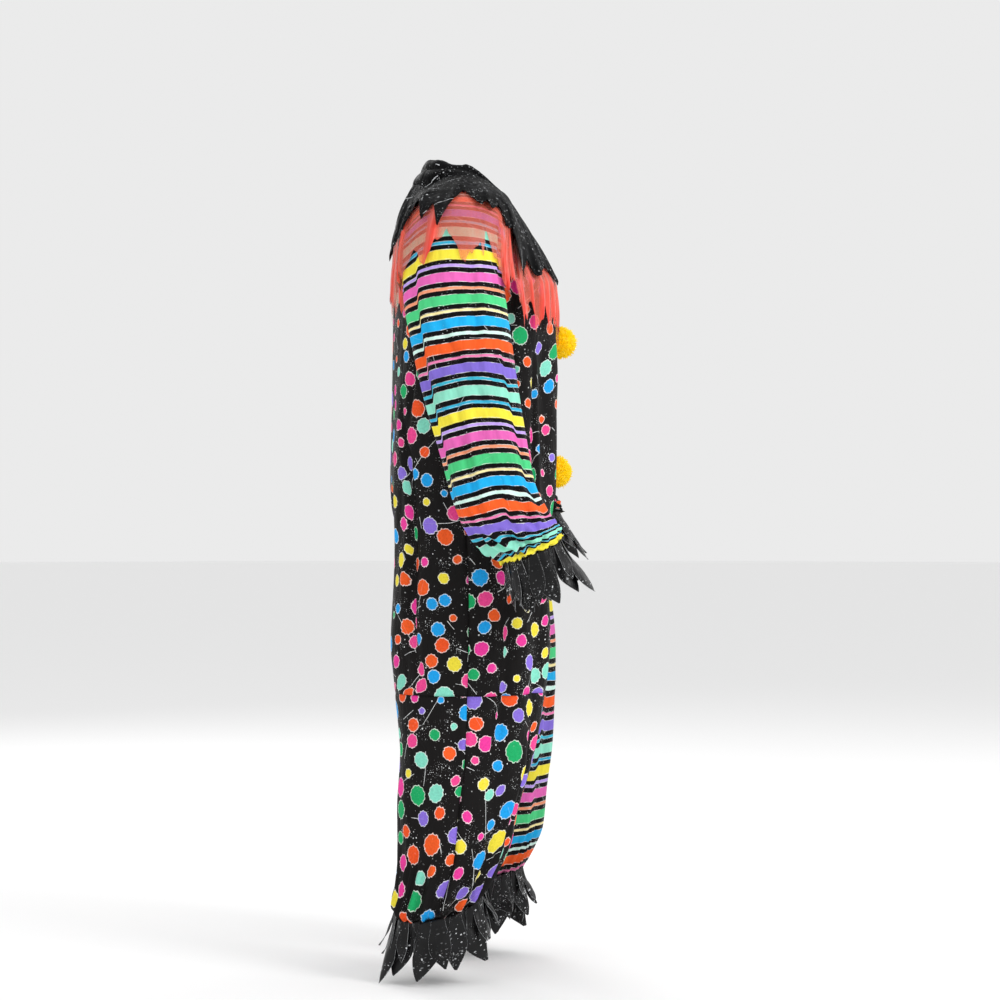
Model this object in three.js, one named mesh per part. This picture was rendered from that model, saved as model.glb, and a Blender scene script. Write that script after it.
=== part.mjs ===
// A clown jumpsuit, as worn: a loose one-piece suit with a body of four panels, four lower leg panels, two
// sleeves gathered at the wrists, a jagged two-layer collar, jagged fringes at wrists and ankles, and two
// pom-poms. Millimetres, +Z up, the wearer faces -Y. The origin is on the centre line at shoulder level,
// where the suit is held. The wearer's right is at -X. Every cloth piece is a thin wall: its outer face is
// worked out and thickened inwards.
import * as THREE from "three";

const CLOTH = 2; // wall of the body, leg and sleeve cloth
const COLLAR_CLOTH = 1.2; // wall of the black collar layer
const SHEER_CLOTH = 1; // wall of the sheer collar layer
const FRINGE_CLOTH = 1.5; // wall of the fringes
const SEAM_GAP = 0.3; // between neighbouring pieces

const CHEST_Z = -200; // lowest level of the yoke, under the arms
const CROTCH_Z = -710;
const CROTCH_RISE = 150; // height over which the trunk turns into two legs
const KNEE_Z = -936; // the seam between body panels and lower leg panels
const ANKLE_Z = -1302; // middle of the gathered ankle
const SIDE_SEAM_Y = 10;
const TRUNK_POWER = 0.8; // below 1 squares the trunk's section, 1 is an ellipse
const LEG_POWER = 0.92;

// Trunk: half width, and how far the cloth stands in front of and behind the side seam.
const TRUNK = [
  { z: -200, wide: 186, fore: 161, aft: 131 },
  { z: -290, wide: 186, fore: 163, aft: 134 },
  { z: -390, wide: 188, fore: 163, aft: 136 },
  { z: -490, wide: 194, fore: 164, aft: 138 },
  { z: -590, wide: 200, fore: 165, aft: 139 },
  { z: -710, wide: 204, fore: 165, aft: 139 },
];
// Right leg: centre, half width, half depth, how far its front stands above and its outside hangs below its
// middle.
const LEG = [
  { z: -600, x: 102, y: -3, wide: 101.4, deep: 150, rise: 0, sag: 0 },
  { z: -710, x: 103, y: -1, wide: 102.4, deep: 146, rise: 0, sag: 0 },
  { z: -796, x: 105, y: 2, wide: 102, deep: 141, rise: 0, sag: 0 },
  { z: -868, x: 109, y: 4, wide: 102, deep: 138, rise: 0, sag: 0 },
  { z: -920, x: 112, y: 5, wide: 99, deep: 133, rise: 0, sag: 0 },
  { z: -1045, x: 117, y: 10, wide: 93, deep: 118, rise: 1, sag: 1 },
  { z: -1128, x: 121, y: 20, wide: 88, deep: 109, rise: 5, sag: 4 },
  { z: -1217, x: 125, y: 30, wide: 84, deep: 98, rise: 12, sag: 13 },
  { z: -1262, x: 127, y: 45, wide: 80, deep: 90, rise: 18, sag: 21 },
  { z: -1290, x: 128, y: 57, wide: 71, deep: 84, rise: 20, sag: 26 },
  { z: ANKLE_Z, x: 128, y: 57, wide: 55, deep: 75, rise: 18, sag: 27 },
];
const STRIDE_FROM_Z = -640; // the left leg stands forward of the right one, from here down
const STRIDE_SLOPE = 0.108;

// Neck opening: an ellipse in plan that drops towards the front.
const NECK = { wide: 80, fore: 70, aft: 66, y: 8, frontZ: -34, sideZ: 4, napeZ: 25 };
// Armhole: a tall oval pulled in towards the chest and the back.
const ARMHOLE = { x: 187, y: 16, z: -95, deep: 80, tall: 61, pullIn: 20 };
const NECK_SHARE = 0.5; // of a panel's top edge, the rest is the shoulder seam
const SEAM_RISE = 1 / 8; // of the yoke's outer edge, the rest is the armhole
// Centre lines of the yoke, from the chest line up to the neck opening.
const CENTRE_FRONT = [
  { rise: 0, y: -151, z: CHEST_Z },
  { rise: 0.2, y: -133, z: -166 },
  { rise: 0.4, y: -110, z: -133 },
  { rise: 0.6, y: -88, z: -101 },
  { rise: 0.8, y: -71, z: -69 },
  { rise: 1, y: NECK.y - NECK.fore, z: NECK.frontZ },
];
const CENTRE_BACK = [
  { rise: 0, y: 141, z: CHEST_Z },
  { rise: 0.25, y: 135, z: -136 },
  { rise: 0.5, y: 119, z: -74 },
  { rise: 0.75, y: 98, z: -18 },
  { rise: 1, y: NECK.y + NECK.aft, z: NECK.napeZ },
];

// Sleeves, ring by ring from the armhole: the outer and inner point of each ring in the front view, the
// ring's middle in the side view, its half depth, and how far its front stands above its middle.
const RIGHT_SLEEVE = [
  { outX: 222, outZ: -50, inX: 190.5, inZ: -172, y: 20, deep: 83, rise: 1 },
  { outX: 261, outZ: -77, inX: 192, inZ: -186, y: 25, deep: 86, rise: 2 },
  { outX: 292, outZ: -117, inX: 192, inZ: -196, y: 29, deep: 87, rise: 4 },
  { outX: 309, outZ: -174, inX: 192, inZ: -212, y: 31, deep: 87, rise: 6 },
  { outX: 316, outZ: -247, inX: 194, inZ: -252, y: 26, deep: 88, rise: 8 },
  { outX: 322, outZ: -322, inX: 200, inZ: -322, y: 14, deep: 86, rise: 9 },
  { outX: 328, outZ: -408, inX: 210, inZ: -408, y: -2, deep: 81, rise: 10 },
  { outX: 335, outZ: -495, inX: 220, inZ: -495, y: -22, deep: 75, rise: 12 },
  { outX: 342, outZ: -576, inX: 229, inZ: -576, y: -41, deep: 71, rise: 15 },
  { outX: 347, outZ: -626, inX: 231, inZ: -620, y: -62, deep: 69, rise: 20 },
  { outX: 346, outZ: -660, inX: 235, inZ: -648, y: -88, deep: 62, rise: 26 },
  { outX: 336, outZ: -676, inX: 248, inZ: -662, y: -107, deep: 45, rise: 23 },
];
const LEFT_ARM = { fromZ: -322, toZ: -669, forward: 14, up: 40 }; // the left forearm is held a little higher

const CUFF_TEETH = 9;
const ANKLE_TEETH = 11;
const POMPOM_RADIUS = 30;
const POMPOM_STAND = 9; // centre of a pom-pom in front of the cloth
const POMPOM_Z = [-302, -539];

// Long soft folds of the body cloth. Each runs down from (z, turn) to (endZ, endTurn), where turn goes from 0
// at the centre front through 0.5 at the side seam to 1 at the centre back; depth is positive for a ridge.
const BODY_FOLDS = [
  { side: -1, z: -350, turn: 0, endZ: -690, endTurn: 0, width: 0.06, depth: -11 },
  { side: 1, z: -350, turn: 0, endZ: -690, endTurn: 0, width: 0.06, depth: -11 },
  { side: -1, z: -270, turn: 0.1, endZ: -660, endTurn: 0.12, width: 0.04, depth: 8 },
  { side: -1, z: -260, turn: 0.19, endZ: -600, endTurn: 0.2, width: 0.04, depth: -9 },
  { side: -1, z: -700, turn: 0.34, endZ: -1060, endTurn: 0.3, width: 0.035, depth: -11 },
  { side: -1, z: -730, turn: 0.25, endZ: -1150, endTurn: 0.22, width: 0.05, depth: 8 },
  { side: -1, z: -620, turn: 0.66, endZ: -930, endTurn: 0.64, width: 0.035, depth: -9 },
  { side: -1, z: -360, turn: 0.8, endZ: -900, endTurn: 0.83, width: 0.06, depth: 7 },
  { side: -1, z: -1010, turn: 0.58, endZ: -1290, endTurn: 0.64, width: 0.05, depth: -9 },
  { side: -1, z: -1060, turn: 0.42, endZ: -1290, endTurn: 0.36, width: 0.045, depth: -9 },
  { side: 1, z: -250, turn: 0.11, endZ: -650, endTurn: 0.13, width: 0.04, depth: 8 },
  { side: 1, z: -290, turn: 0.2, endZ: -620, endTurn: 0.23, width: 0.045, depth: -8 },
  { side: 1, z: -740, turn: 0.21, endZ: -1290, endTurn: 0.17, width: 0.03, depth: -11 },
  { side: 1, z: -660, turn: 0.35, endZ: -1000, endTurn: 0.38, width: 0.05, depth: -8 },
  { side: 1, z: -430, turn: 0.82, endZ: -880, endTurn: 0.79, width: 0.06, depth: 7 },
  { side: 1, z: -1020, turn: 0.62, endZ: -1290, endTurn: 0.57, width: 0.05, depth: -9 },
];
// Long folds of the sleeves: share is how far down the sleeve, turn goes from 0 at the top or outside through
// 0.25 at the front and 0.5 at the inside to 0.75 at the back.
const SLEEVE_FOLDS = [
  { side: -1, share: 0.34, turn: 0.87, end: 0.74, endTurn: 0.83, width: 0.03, depth: -8 },
  { side: -1, share: 0.5, turn: 0.13, end: 0.92, endTurn: 0.17, width: 0.035, depth: -7 },
  { side: -1, share: 0.78, turn: 0.95, end: 0.99, endTurn: 0.05, width: 0.04, depth: -7 },
  { side: 1, share: 0.38, turn: 0.85, end: 0.8, endTurn: 0.8, width: 0.035, depth: -8 },
  { side: 1, share: 0.46, turn: 0.12, end: 0.9, endTurn: 0.2, width: 0.035, depth: -7 },
];

// Collar: each tooth's place round the neck in degrees from the front towards a side, its tip's reach from
// the neckline, and the reach of the notch that follows it. Both sides use the same table.
const BLACK_TEETH = [
  { turn: 0, tip: 196, notch: 168 },
  { turn: 24, tip: 206, notch: 178 },
  { turn: 50, tip: 208, notch: 188 },
  { turn: 62, tip: 238, notch: 190 },
  { turn: 74, tip: 214, notch: 188 },
  { turn: 80, tip: 206, notch: 190 },
  { turn: 84, tip: 208, notch: 158 },
  { turn: 99, tip: 264, notch: 206 },
  { turn: 105, tip: 242, notch: 178 },
  { turn: 113, tip: 254, notch: 198 },
  { turn: 129, tip: 192, notch: 158 },
  { turn: 146, tip: 180, notch: 152 },
  { turn: 163, tip: 188, notch: 154 },
  { turn: 180, tip: 178, notch: 154 },
];
const RED_TEETH = [
  { turn: 0, tip: 250, notch: 232 },
  { turn: 20, tip: 276, notch: 240 },
  { turn: 37, tip: 294, notch: 250 },
  { turn: 49, tip: 304, notch: 254 },
  { turn: 59, tip: 302, notch: 256 },
  { turn: 76, tip: 337, notch: 262 },
  { turn: 90, tip: 320, notch: 264 },
  { turn: 103, tip: 322, notch: 298 },
  { turn: 112, tip: 338, notch: 286 },
  { turn: 128, tip: 314, notch: 268 },
  { turn: 145, tip: 296, notch: 254 },
  { turn: 163, tip: 302, notch: 250 },
  { turn: 180, tip: 286, notch: 250 },
];

const mix = (a, b, t) => a + (b - a) * t;
const clamp01 = (t) => Math.min(1, Math.max(0, t));
const ease = (t) => clamp01(t) ** 2 * (3 - 2 * clamp01(t));
const rounded = (v, power) => Math.sign(v) * Math.abs(v) ** power;
const radians = (degrees) => (degrees * Math.PI) / 180;
const steps = (n, from = 0, to = 1) => Array.from({ length: n + 1 }, (_, i) => mix(from, to, i / n));

// All columns of a table at a place between its rows, on a smooth curve through the rows.
function readTable(rows, key, value) {
  const down = rows[0][key] > rows[rows.length - 1][key];
  const passed = rows.findIndex((r) => (down ? r[key] <= value : r[key] >= value));
  if (passed === 0) return rows[0];
  if (passed < 0) return rows[rows.length - 1];
  const [r0, r1, r2, r3] = [-2, -1, 0, 1].map((i) => rows[Math.min(rows.length - 1, Math.max(0, passed + i))]);
  const span = r2[key] - r1[key];
  const t = (value - r1[key]) / span;
  const slope = (a, b, name) => (b === a ? 0 : ((b[name] - a[name]) / (b[key] - a[key])) * span);
  const out = {};
  for (const name of Object.keys(r1)) {
    const m1 = r0 === r1 ? slope(r1, r2, name) : slope(r0, r2, name);
    const m2 = r3 === r2 ? slope(r1, r2, name) : slope(r1, r3, name);
    const t2 = t * t;
    const t3 = t2 * t;
    out[name] =
      (2 * t3 - 3 * t2 + 1) * r1[name] + (t3 - 2 * t2 + t) * m1 + (3 * t2 - 2 * t3) * r2[name] + (t3 - t2) * m2;
  }
  return out;
}

// Sum of the folds at a place: each is a bell across its width that fades out at both of its ends.
function foldHeight(folds, side, along, turn, start, stop, wraps) {
  let sum = 0;
  for (const f of folds.filter((row) => row.side === side)) {
    const t = (along - f[start]) / (f[stop] - f[start]);
    if (t <= 0 || t >= 1) continue;
    let off = turn - mix(f.turn, f.endTurn + (wraps && f.endTurn < f.turn - 0.5 ? 1 : 0), t);
    if (wraps) off -= Math.round(off);
    sum += f.depth * Math.sin(Math.PI * t) ** 0.7 * Math.exp(-((off / f.width) ** 2));
  }
  return sum;
}

// The body cloth's outer face. turn goes round one half: 0 centre front or inseam, 0.5 side seam, 1 centre
// back.
function bodyPoint(side, turn, z) {
  const trunk = readTable(TRUNK, "z", z);
  const leg = readTable(LEG, "z", z);
  const half = Math.PI * turn;
  const trunkX = trunk.wide * rounded(Math.sin(half), TRUNK_POWER);
  const trunkY = SIDE_SEAM_Y - (turn < 0.5 ? trunk.fore : trunk.aft) * rounded(Math.cos(half), TRUNK_POWER);
  const legX = leg.x - leg.wide * rounded(Math.cos(2 * half), LEG_POWER);
  const legY = leg.y - leg.deep * rounded(Math.sin(2 * half), LEG_POWER);
  // Over the crotch the seam follows a U, while the rest of the section changes gently.
  const above = clamp01((z - CROTCH_Z) / CROTCH_RISE);
  const seamBlend = 1 - Math.sqrt(above * (2 - above));
  const clothBlend = 1 - ease((z - CROTCH_Z + CROTCH_RISE) / (2 * CROTCH_RISE));
  const fromSeam = ease(Math.min(turn, 1 - turn) / 0.14);
  const blend = mix(seamBlend, z > CROTCH_Z ? clothBlend : 1, fromSeam);
  const legBlend = z > CROTCH_Z ? blend : mix(1, clothBlend, fromSeam);
  const stride = side > 0 ? Math.min(0, (z - STRIDE_FROM_Z) * STRIDE_SLOPE) : 0;
  const x = SEAM_GAP / 2 + mix(trunkX, legX, legBlend);
  const y = mix(trunkY, legY, legBlend) + stride;
  const lift = (-leg.rise * (y - stride - leg.y)) / leg.deep - (leg.sag * Math.max(0, x - leg.x)) / leg.wide;
  return new THREE.Vector3(side * x, y, z + lift);
}

// The outward normal. On the centre seam it has no sideways part, and on the inseam front and back share it.
function bodyNormal(side, turn, z) {
  const step = 0.004;
  const onEdge = turn === 0 || turn === 1;
  const around = (t) => {
    if (t >= 0 && t <= 1) return bodyPoint(side, t, z);
    if (z > CROTCH_Z) return bodyPoint(side, t < 0 ? -t : 2 - t, z).multiply(new THREE.Vector3(-1, 1, 1));
    return bodyPoint(side, t < 0 ? t + 1 : t - 1, z);
  };
  if (onEdge && Math.abs(z - CROTCH_Z) < 0.01) return new THREE.Vector3(0, 0, -1);
  const across = around(turn + step).sub(around(turn - step));
  const down = bodyPoint(side, turn, z - 2).sub(bodyPoint(side, turn, z + 2));
  const normal = across.cross(down).multiplyScalar(-side);
  if (onEdge && z > CROTCH_Z) normal.x = 0;
  return normal.normalize();
}

// The top edge of a body panel: the neck opening from its centre to the shoulder, then the shoulder seam.
function topEdge(side, share, back) {
  const corner = new THREE.Vector3(side * (SEAM_GAP / 2 + NECK.wide), NECK.y, NECK.sideZ);
  if (share >= NECK_SHARE) {
    return corner.lerp(armhole(side, Math.PI / 2), (share - NECK_SHARE) / (1 - NECK_SHARE));
  }
  const a = (share / NECK_SHARE) * (Math.PI / 2);
  const x = SEAM_GAP / 2 + NECK.wide * Math.sin(a);
  const y = NECK.y + (back ? NECK.aft : -NECK.fore) * Math.cos(a);
  const drop = Math.cos(a) ** (back ? 2 : 0.6);
  return new THREE.Vector3(side * x, y, mix(NECK.sideZ, back ? NECK.napeZ : NECK.frontZ, drop));
}

// The armhole seam: angle 90 degrees at the shoulder, 0 in front, -90 under the arm, 180 behind.
function armhole(side, angle) {
  const x = ARMHOLE.x - ARMHOLE.pullIn * Math.cos(angle) ** 2;
  const y = ARMHOLE.y - ARMHOLE.deep * Math.cos(angle);
  return new THREE.Vector3(side * x, y, ARMHOLE.z + ARMHOLE.tall * Math.sin(angle));
}

// The outer edge of the yoke: a short piece of side seam, then half of the armhole up to the shoulder.
function armEdge(side, rise, back) {
  if (rise >= SEAM_RISE) {
    const a = Math.PI * ((rise - SEAM_RISE) / (1 - SEAM_RISE) - 0.5);
    return armhole(side, back ? Math.PI - a : a);
  }
  return bodyPoint(side, 0.5, CHEST_Z).lerp(armhole(side, -Math.PI / 2), rise / SEAM_RISE);
}

// The yoke, spanned between the chest line (rise 0), the centre seam (share 0), the arm edge and the top
// edge.
function yokePoint(side, share, rise, back) {
  const turn = (t) => (back ? 1 - t / 2 : t / 2);
  const centre = (t) => {
    const row = readTable(back ? CENTRE_BACK : CENTRE_FRONT, "rise", t);
    return new THREE.Vector3((side * SEAM_GAP) / 2, row.y, row.z);
  };
  const point = new THREE.Vector3();
  point.addScaledVector(bodyPoint(side, turn(share), CHEST_Z), 1 - rise);
  point.addScaledVector(topEdge(side, share, back), rise);
  point.addScaledVector(centre(rise), 1 - share);
  point.addScaledVector(armEdge(side, rise, back), share);
  point.addScaledVector(bodyPoint(side, turn(0), CHEST_Z), -(1 - share) * (1 - rise));
  point.addScaledVector(bodyPoint(side, turn(1), CHEST_Z), -share * (1 - rise));
  point.addScaledVector(topEdge(side, 0, back), -(1 - share) * rise);
  return point.addScaledVector(topEdge(side, 1, back), -share * rise);
}

function yokeNormal(side, share, rise, back) {
  const s = 0.01;
  const [low, high] = share < NECK_SHARE ? [0, NECK_SHARE] : rise > 0.99 ? [NECK_SHARE, 1] : [0, 1];
  const up = yokePoint(side, share, Math.min(1, rise + s), back).sub(
    yokePoint(side, share, Math.max(0, rise - s), back),
  );
  const across = yokePoint(side, Math.min(high, share + s), rise, back).sub(
    yokePoint(side, Math.max(low, share - s), rise, back),
  );
  const normal = across.cross(up).multiplyScalar(side * (back ? -1 : 1));
  if (share === 0) normal.x = 0;
  return normal.normalize();
}

// The yoke's normal, shared along its seams with the piece on the seam's other side.
function seamNormal(side, share, rise, back) {
  const normal = yokeNormal(side, share, rise, back);
  const onShoulder = rise === 1 && share >= NECK_SHARE;
  const onSide = share === 1 && rise <= SEAM_RISE;
  if (onShoulder || onSide) normal.add(yokeNormal(side, share, rise, !back)).normalize();
  if (share < 1 || rise < SEAM_RISE) return normal;
  const a = Math.PI * ((rise - SEAM_RISE) / (1 - SEAM_RISE) - 0.5);
  return normal.add(sleeveNormal(side, 0, back ? Math.PI - a : a)).normalize();
}

const PANEL_COLUMNS = 12; // the neck takes the first half of them
const YOKE_ROWS = 8; // one along the side seam, then as many as there are sides to half of the armhole
const SHARES = steps(PANEL_COLUMNS);
const SLEEVE_SIDES = 14;

// A grid of points and normals, one row per level, that can be thickened.
function bodyPanel(side, back) {
  const levels = [...steps(4, CHEST_Z, CROTCH_Z + CROTCH_RISE).slice(1)];
  for (const a of steps(5, Math.PI / 2, 0).slice(1)) levels.push(CROTCH_Z + CROTCH_RISE * (1 - Math.cos(a)));
  levels.push(...steps(3, CROTCH_Z, KNEE_Z).slice(1));
  const turn = (share) => (back ? 1 - share / 2 : share / 2);
  const rows = steps(YOKE_ROWS, 1, 0).map((rise) =>
    SHARES.map((share) => {
      const normal = seamNormal(side, share, rise, back);
      return { point: yokePoint(side, share, rise, back), normal };
    }),
  );
  for (const z of levels)
    rows.push(
      SHARES.map((share) => {
        const normal = bodyNormal(side, turn(share), z);
        const lift = foldHeight(BODY_FOLDS, side, z, turn(share), "z", "endZ", false);
        return { point: bodyPoint(side, turn(share), z).addScaledVector(normal, lift), normal };
      }),
    );
  const onInseam = (i) => rows[i][0].point.z < CROTCH_Z + 1;
  insetEdges(rows, { top: true, bottom: true, left: onInseam, right: () => true });
  return rows;
}

// A lower leg panel, from the knee seam to the gathered ankle, with soft flutes that deepen towards the
// gathers.
function legPanel(side, back) {
  const levels = [...steps(3, KNEE_Z, -1128), -1185, -1235, -1270, -1290, ANKLE_Z];
  const rows = levels.map((z) =>
    SHARES.map((share) => {
      const turn = back ? 1 - share / 2 : share / 2;
      const normal = bodyNormal(side, turn, z);
      const gather = ease((-1130 - z) / 150) * (z > ANKLE_Z ? 1 : 0.5);
      const flute = 3.2 * gather * Math.cos(2 * Math.PI * 12 * turn);
      const lift = foldHeight(BODY_FOLDS, side, z, turn, "z", "endZ", false) + flute;
      return { point: bodyPoint(side, turn, z).addScaledVector(normal, lift), normal };
    }),
  );
  insetEdges(rows, { top: true, bottom: false, left: () => true, right: () => true });
  return rows;
}

// Moves the chosen edges of a grid inwards by half the seam gap.
function insetEdges(rows, edges) {
  const move = (cell, towards) => {
    const step = towards.point.clone().sub(cell.point).setLength(SEAM_GAP / 2);
    return cell.point.clone().add(step);
  };
  const last = rows[0].length - 1;
  rows.forEach((row, i) => {
    if (edges.left(i)) row[0].point = move(row[0], row[1]);
    if (edges.right(i)) row[last].point = move(row[last], row[last - 1]);
  });
  if (edges.top) rows[0].forEach((cell, j) => (cell.point = move(cell, rows[1][j])));
  if (edges.bottom) rows.at(-1).forEach((cell, j) => (cell.point = move(cell, rows.at(-2)[j])));
}

const SLEEVE_ROWS = RIGHT_SLEEVE.map((row, i) => ({ ...row, row: i + 1 }));

// The sleeve's outer face. row 0 is the armhole, and angles run as on the armhole.
function sleevePoint(side, row, angle) {
  if (row <= 0) return armhole(side, angle);
  const r = readTable(SLEEVE_ROWS, "row", Math.max(1, row));
  const up = rounded(Math.sin(angle), 0.94);
  const fore = rounded(Math.cos(angle), 0.94);
  const midZ = (r.outZ + r.inZ) / 2;
  const raise = side > 0 ? ease((LEFT_ARM.fromZ - midZ) / (LEFT_ARM.fromZ - LEFT_ARM.toZ)) : 0;
  const x = (r.outX + r.inX) / 2 + ((r.outX - r.inX) / 2) * up;
  const z = midZ + ((r.outZ - r.inZ) / 2) * up + r.rise * fore + LEFT_ARM.up * raise;
  const y = r.y - r.deep * fore - LEFT_ARM.forward * raise;
  const ring = new THREE.Vector3(side * x, y, z);
  return row < 1 ? armhole(side, angle).lerp(ring, row) : ring;
}

function sleeveNormal(side, row, angle) {
  const step = 0.03;
  const low = Math.max(0, row - 0.1);
  const down = sleevePoint(side, low + 0.2, angle).sub(sleevePoint(side, low, angle));
  const round = sleevePoint(side, row, angle + step).sub(sleevePoint(side, row, angle - step));
  return round.cross(down).multiplyScalar(-side).normalize();
}

// Angle on a sleeve ring for a turn that starts at the top and goes by the front.
const ringAngle = (turn) => Math.PI * (0.5 - 2 * turn);

function sleeve(side) {
  const rows = steps(RIGHT_SLEEVE.length, 0, RIGHT_SLEEVE.length).map((row) =>
    steps(SLEEVE_SIDES)
      .slice(0, -1)
      .map((turn) => {
        const angle = ringAngle(turn);
        const rise = mix(1, SEAM_RISE, 1 - Math.abs(1 - 2 * turn));
        const normal = row === 0 ? seamNormal(side, 1, rise, turn > 0.5) : sleeveNormal(side, row, angle);
        const lift = foldHeight(SLEEVE_FOLDS, side, row / RIGHT_SLEEVE.length, turn, "share", "end", true);
        return { point: sleevePoint(side, row, angle).addScaledVector(normal, lift), normal };
      }),
  );
  rows[0].forEach((cell) => (cell.point.x += side * SEAM_GAP));
  return rows;
}

// A closed wall from the faces of an outer skin: the skin, a copy moved in by the thickness, and a rim along
// its edges.
function thicken(points, normals, faces, thickness) {
  const n = points.length;
  const inner = points.map((p, i) => p.clone().addScaledVector(normals[i], -thickness));
  const edges = new Map();
  for (const [a, b, c] of faces)
    for (const [p, q] of [[a, b], [b, c], [c, a]]) {
      if (edges.has(q + "," + p)) edges.delete(q + "," + p);
      else edges.set(p + "," + q, [p, q]);
    }
  const all = [...faces, ...faces.map(([a, b, c]) => [c + n, b + n, a + n])];
  for (const [p, q] of edges.values()) all.push([q, p, p + n], [q, p + n, q + n]);
  const geometry = new THREE.BufferGeometry();
  geometry.setAttribute(
    "position",
    new THREE.Float32BufferAttribute([...points, ...inner].flatMap((p) => p.toArray()), 3),
  );
  geometry.setIndex(all.flat());
  geometry.computeVertexNormals();
  return geometry;
}

// Faces of a grid, wound so that they look along its normals.
function gridWall(rows, thickness, closed) {
  const wide = rows[0].length;
  const cells = rows.flat();
  const faces = [];
  for (let i = 0; i + 1 < rows.length; i++)
    for (let j = 0; j < (closed ? wide : wide - 1); j++) {
      const a = i * wide + j;
      const b = i * wide + ((j + 1) % wide);
      const far = (p, q) => cells[p].point.distanceTo(cells[q].point);
      if (far(a, b + wide) <= far(b, a + wide)) faces.push([a, b, b + wide], [a, b + wide, a + wide]);
      else faces.push([a, b, a + wide], [b, b + wide, a + wide]);
    }
  return facingOut(cells.map((c) => c.point), cells.map((c) => c.normal), faces, thickness);
}

// Turns the faces round if they look against the normals, then makes the wall.
function facingOut(points, normals, faces, thickness) {
  let agree = 0;
  for (const [a, b, c] of faces) {
    const face = points[b].clone().sub(points[a]).cross(points[c].clone().sub(points[a]));
    agree += Math.sign(face.dot(normals[a]));
  }
  const wound = agree < 0 ? faces.map(([a, b, c]) => [a, c, b]) : faces;
  return thicken(points, normals, wound, thickness);
}

const DRAPE_CENTRE = new THREE.Vector3(0, 8, -140);
const COLLAR_LOW_Z = -420;
const DRAPE_TURNS = 180;
const DRAPE_TILTS = 66;
const DRAPE_PASSES = 60;
const DRAPE_STEP = 14; // a change between neighbouring directions above which the cloth passes over the nearer
const DRAPE_FROM = radians(14);
const DRAPE_TO = radians(140);

// Where cloth lies on the shoulders: the distance from a middle point under the neck to the outside of the
// pieces below, by direction. "lies" is the pieces' own surface, "hangs" is smoothed so that it bridges the
// hollows.
function drapeSurface(pieces) {
  const below = outsideOf(pieces);
  const lies = Array.from({ length: DRAPE_TURNS }, (_, i) =>
    steps(DRAPE_TILTS, DRAPE_FROM, DRAPE_TO).map((tilt) =>
      below(drapeDirection((2 * Math.PI * (i + 0.5)) / DRAPE_TURNS, tilt)),
    ),
  );
  // Hollows are bridged by averaging one over the distance, which keeps flat cloth flat.
  const keepFlat = Math.cos((DRAPE_TO - DRAPE_FROM) / DRAPE_TILTS);
  let near = lies.map((row) => row.map((d) => (d > 0 ? 1 / d : 0)));
  for (let pass = 0; pass < DRAPE_PASSES; pass++)
    near = near.map((row, i) =>
      row.map((value, j) => {
        const sides = [near[(i + 1) % DRAPE_TURNS][j], near[(i + DRAPE_TURNS - 1) % DRAPE_TURNS][j]];
        const ends = [row[j - 1], row[j + 1]];
        if (!value || !sides[0] || !sides[1] || !ends[0] || !ends[1]) return value;
        return Math.min(1 / lies[i][j], (sides[0] + sides[1] + (ends[0] + ends[1]) / keepFlat) / 4);
      }),
    );
  const hangs = near.map((row) => row.map((value) => (value ? 1 / value : 0)));
  return { lies, hangs };
}

// A function that gives the distance from the middle point to the outside of some pieces in one direction.
function outsideOf(pieces) {
  const meshes = pieces.map(upperPart);
  const caster = new THREE.Raycaster();
  return (away) => {
    caster.set(DRAPE_CENTRE.clone().addScaledVector(away, 900), away.clone().negate());
    const hit = caster.intersectObjects(meshes)[0];
    return hit ? Math.max(0, 900 - hit.distance) : 0;
  };
}

// The faces of a piece that are high enough to carry the collar.
function upperPart(piece) {
  const [position, index] = [piece.geometry.getAttribute("position"), piece.geometry.index.array];
  const kept = [];
  for (let f = 0; f < index.length; f += 3)
    if (position.getZ(index[f]) > COLLAR_LOW_Z) kept.push(index[f], index[f + 1], index[f + 2]);
  const geometry = new THREE.BufferGeometry().setAttribute("position", position).setIndex(kept);
  return new THREE.Mesh(geometry, piece.material);
}

function drapeDirection(turn, tilt) {
  const flat = Math.sin(tilt);
  return new THREE.Vector3(flat * Math.sin(turn), -flat * Math.cos(turn), Math.cos(tilt));
}

// A drape distance between its measured directions.
function drapeDistance(grid, turn, tilt) {
  const place = (turn / (2 * Math.PI)) * DRAPE_TURNS - 0.5 + DRAPE_TURNS;
  const share = (tilt - DRAPE_FROM) / (DRAPE_TO - DRAPE_FROM);
  const down = Math.min(DRAPE_TILTS - 0.001, Math.max(0, share * DRAPE_TILTS));
  const [i, j] = [Math.floor(place), Math.floor(down)];
  const at = (column, row) => grid[column % DRAPE_TURNS][row];
  const corners = [at(i, j), at(i + 1, j), at(i, j + 1), at(i + 1, j + 1)];
  if (Math.max(...corners) - Math.min(...corners) > DRAPE_STEP) return Math.max(...corners);
  return mix(mix(at(i, j), at(i + 1, j), place - i), mix(at(i, j + 1), at(i + 1, j + 1), place - i), down - j);
}

// The line that a collar follows from the neckline outwards at one turn, with the distance along it.
function collarLine(hangs, turn) {
  const neck = neckline(turn);
  const start = neck.clone().sub(DRAPE_CENTRE);
  const startTilt = Math.acos(start.z / start.length());
  const line = [{ point: neck, along: 0 }];
  for (const tilt of steps(DRAPE_TILTS, DRAPE_FROM, DRAPE_TO)) {
    const far = drapeDistance(hangs, turn, tilt);
    if (tilt < startTilt + radians(3) || far < 100) continue;
    const point = DRAPE_CENTRE.clone().addScaledVector(drapeDirection(turn, tilt), far);
    const before = line.at(-1);
    line.push({ point, along: before.along + before.point.distanceTo(point) });
  }
  return line;
}

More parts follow.
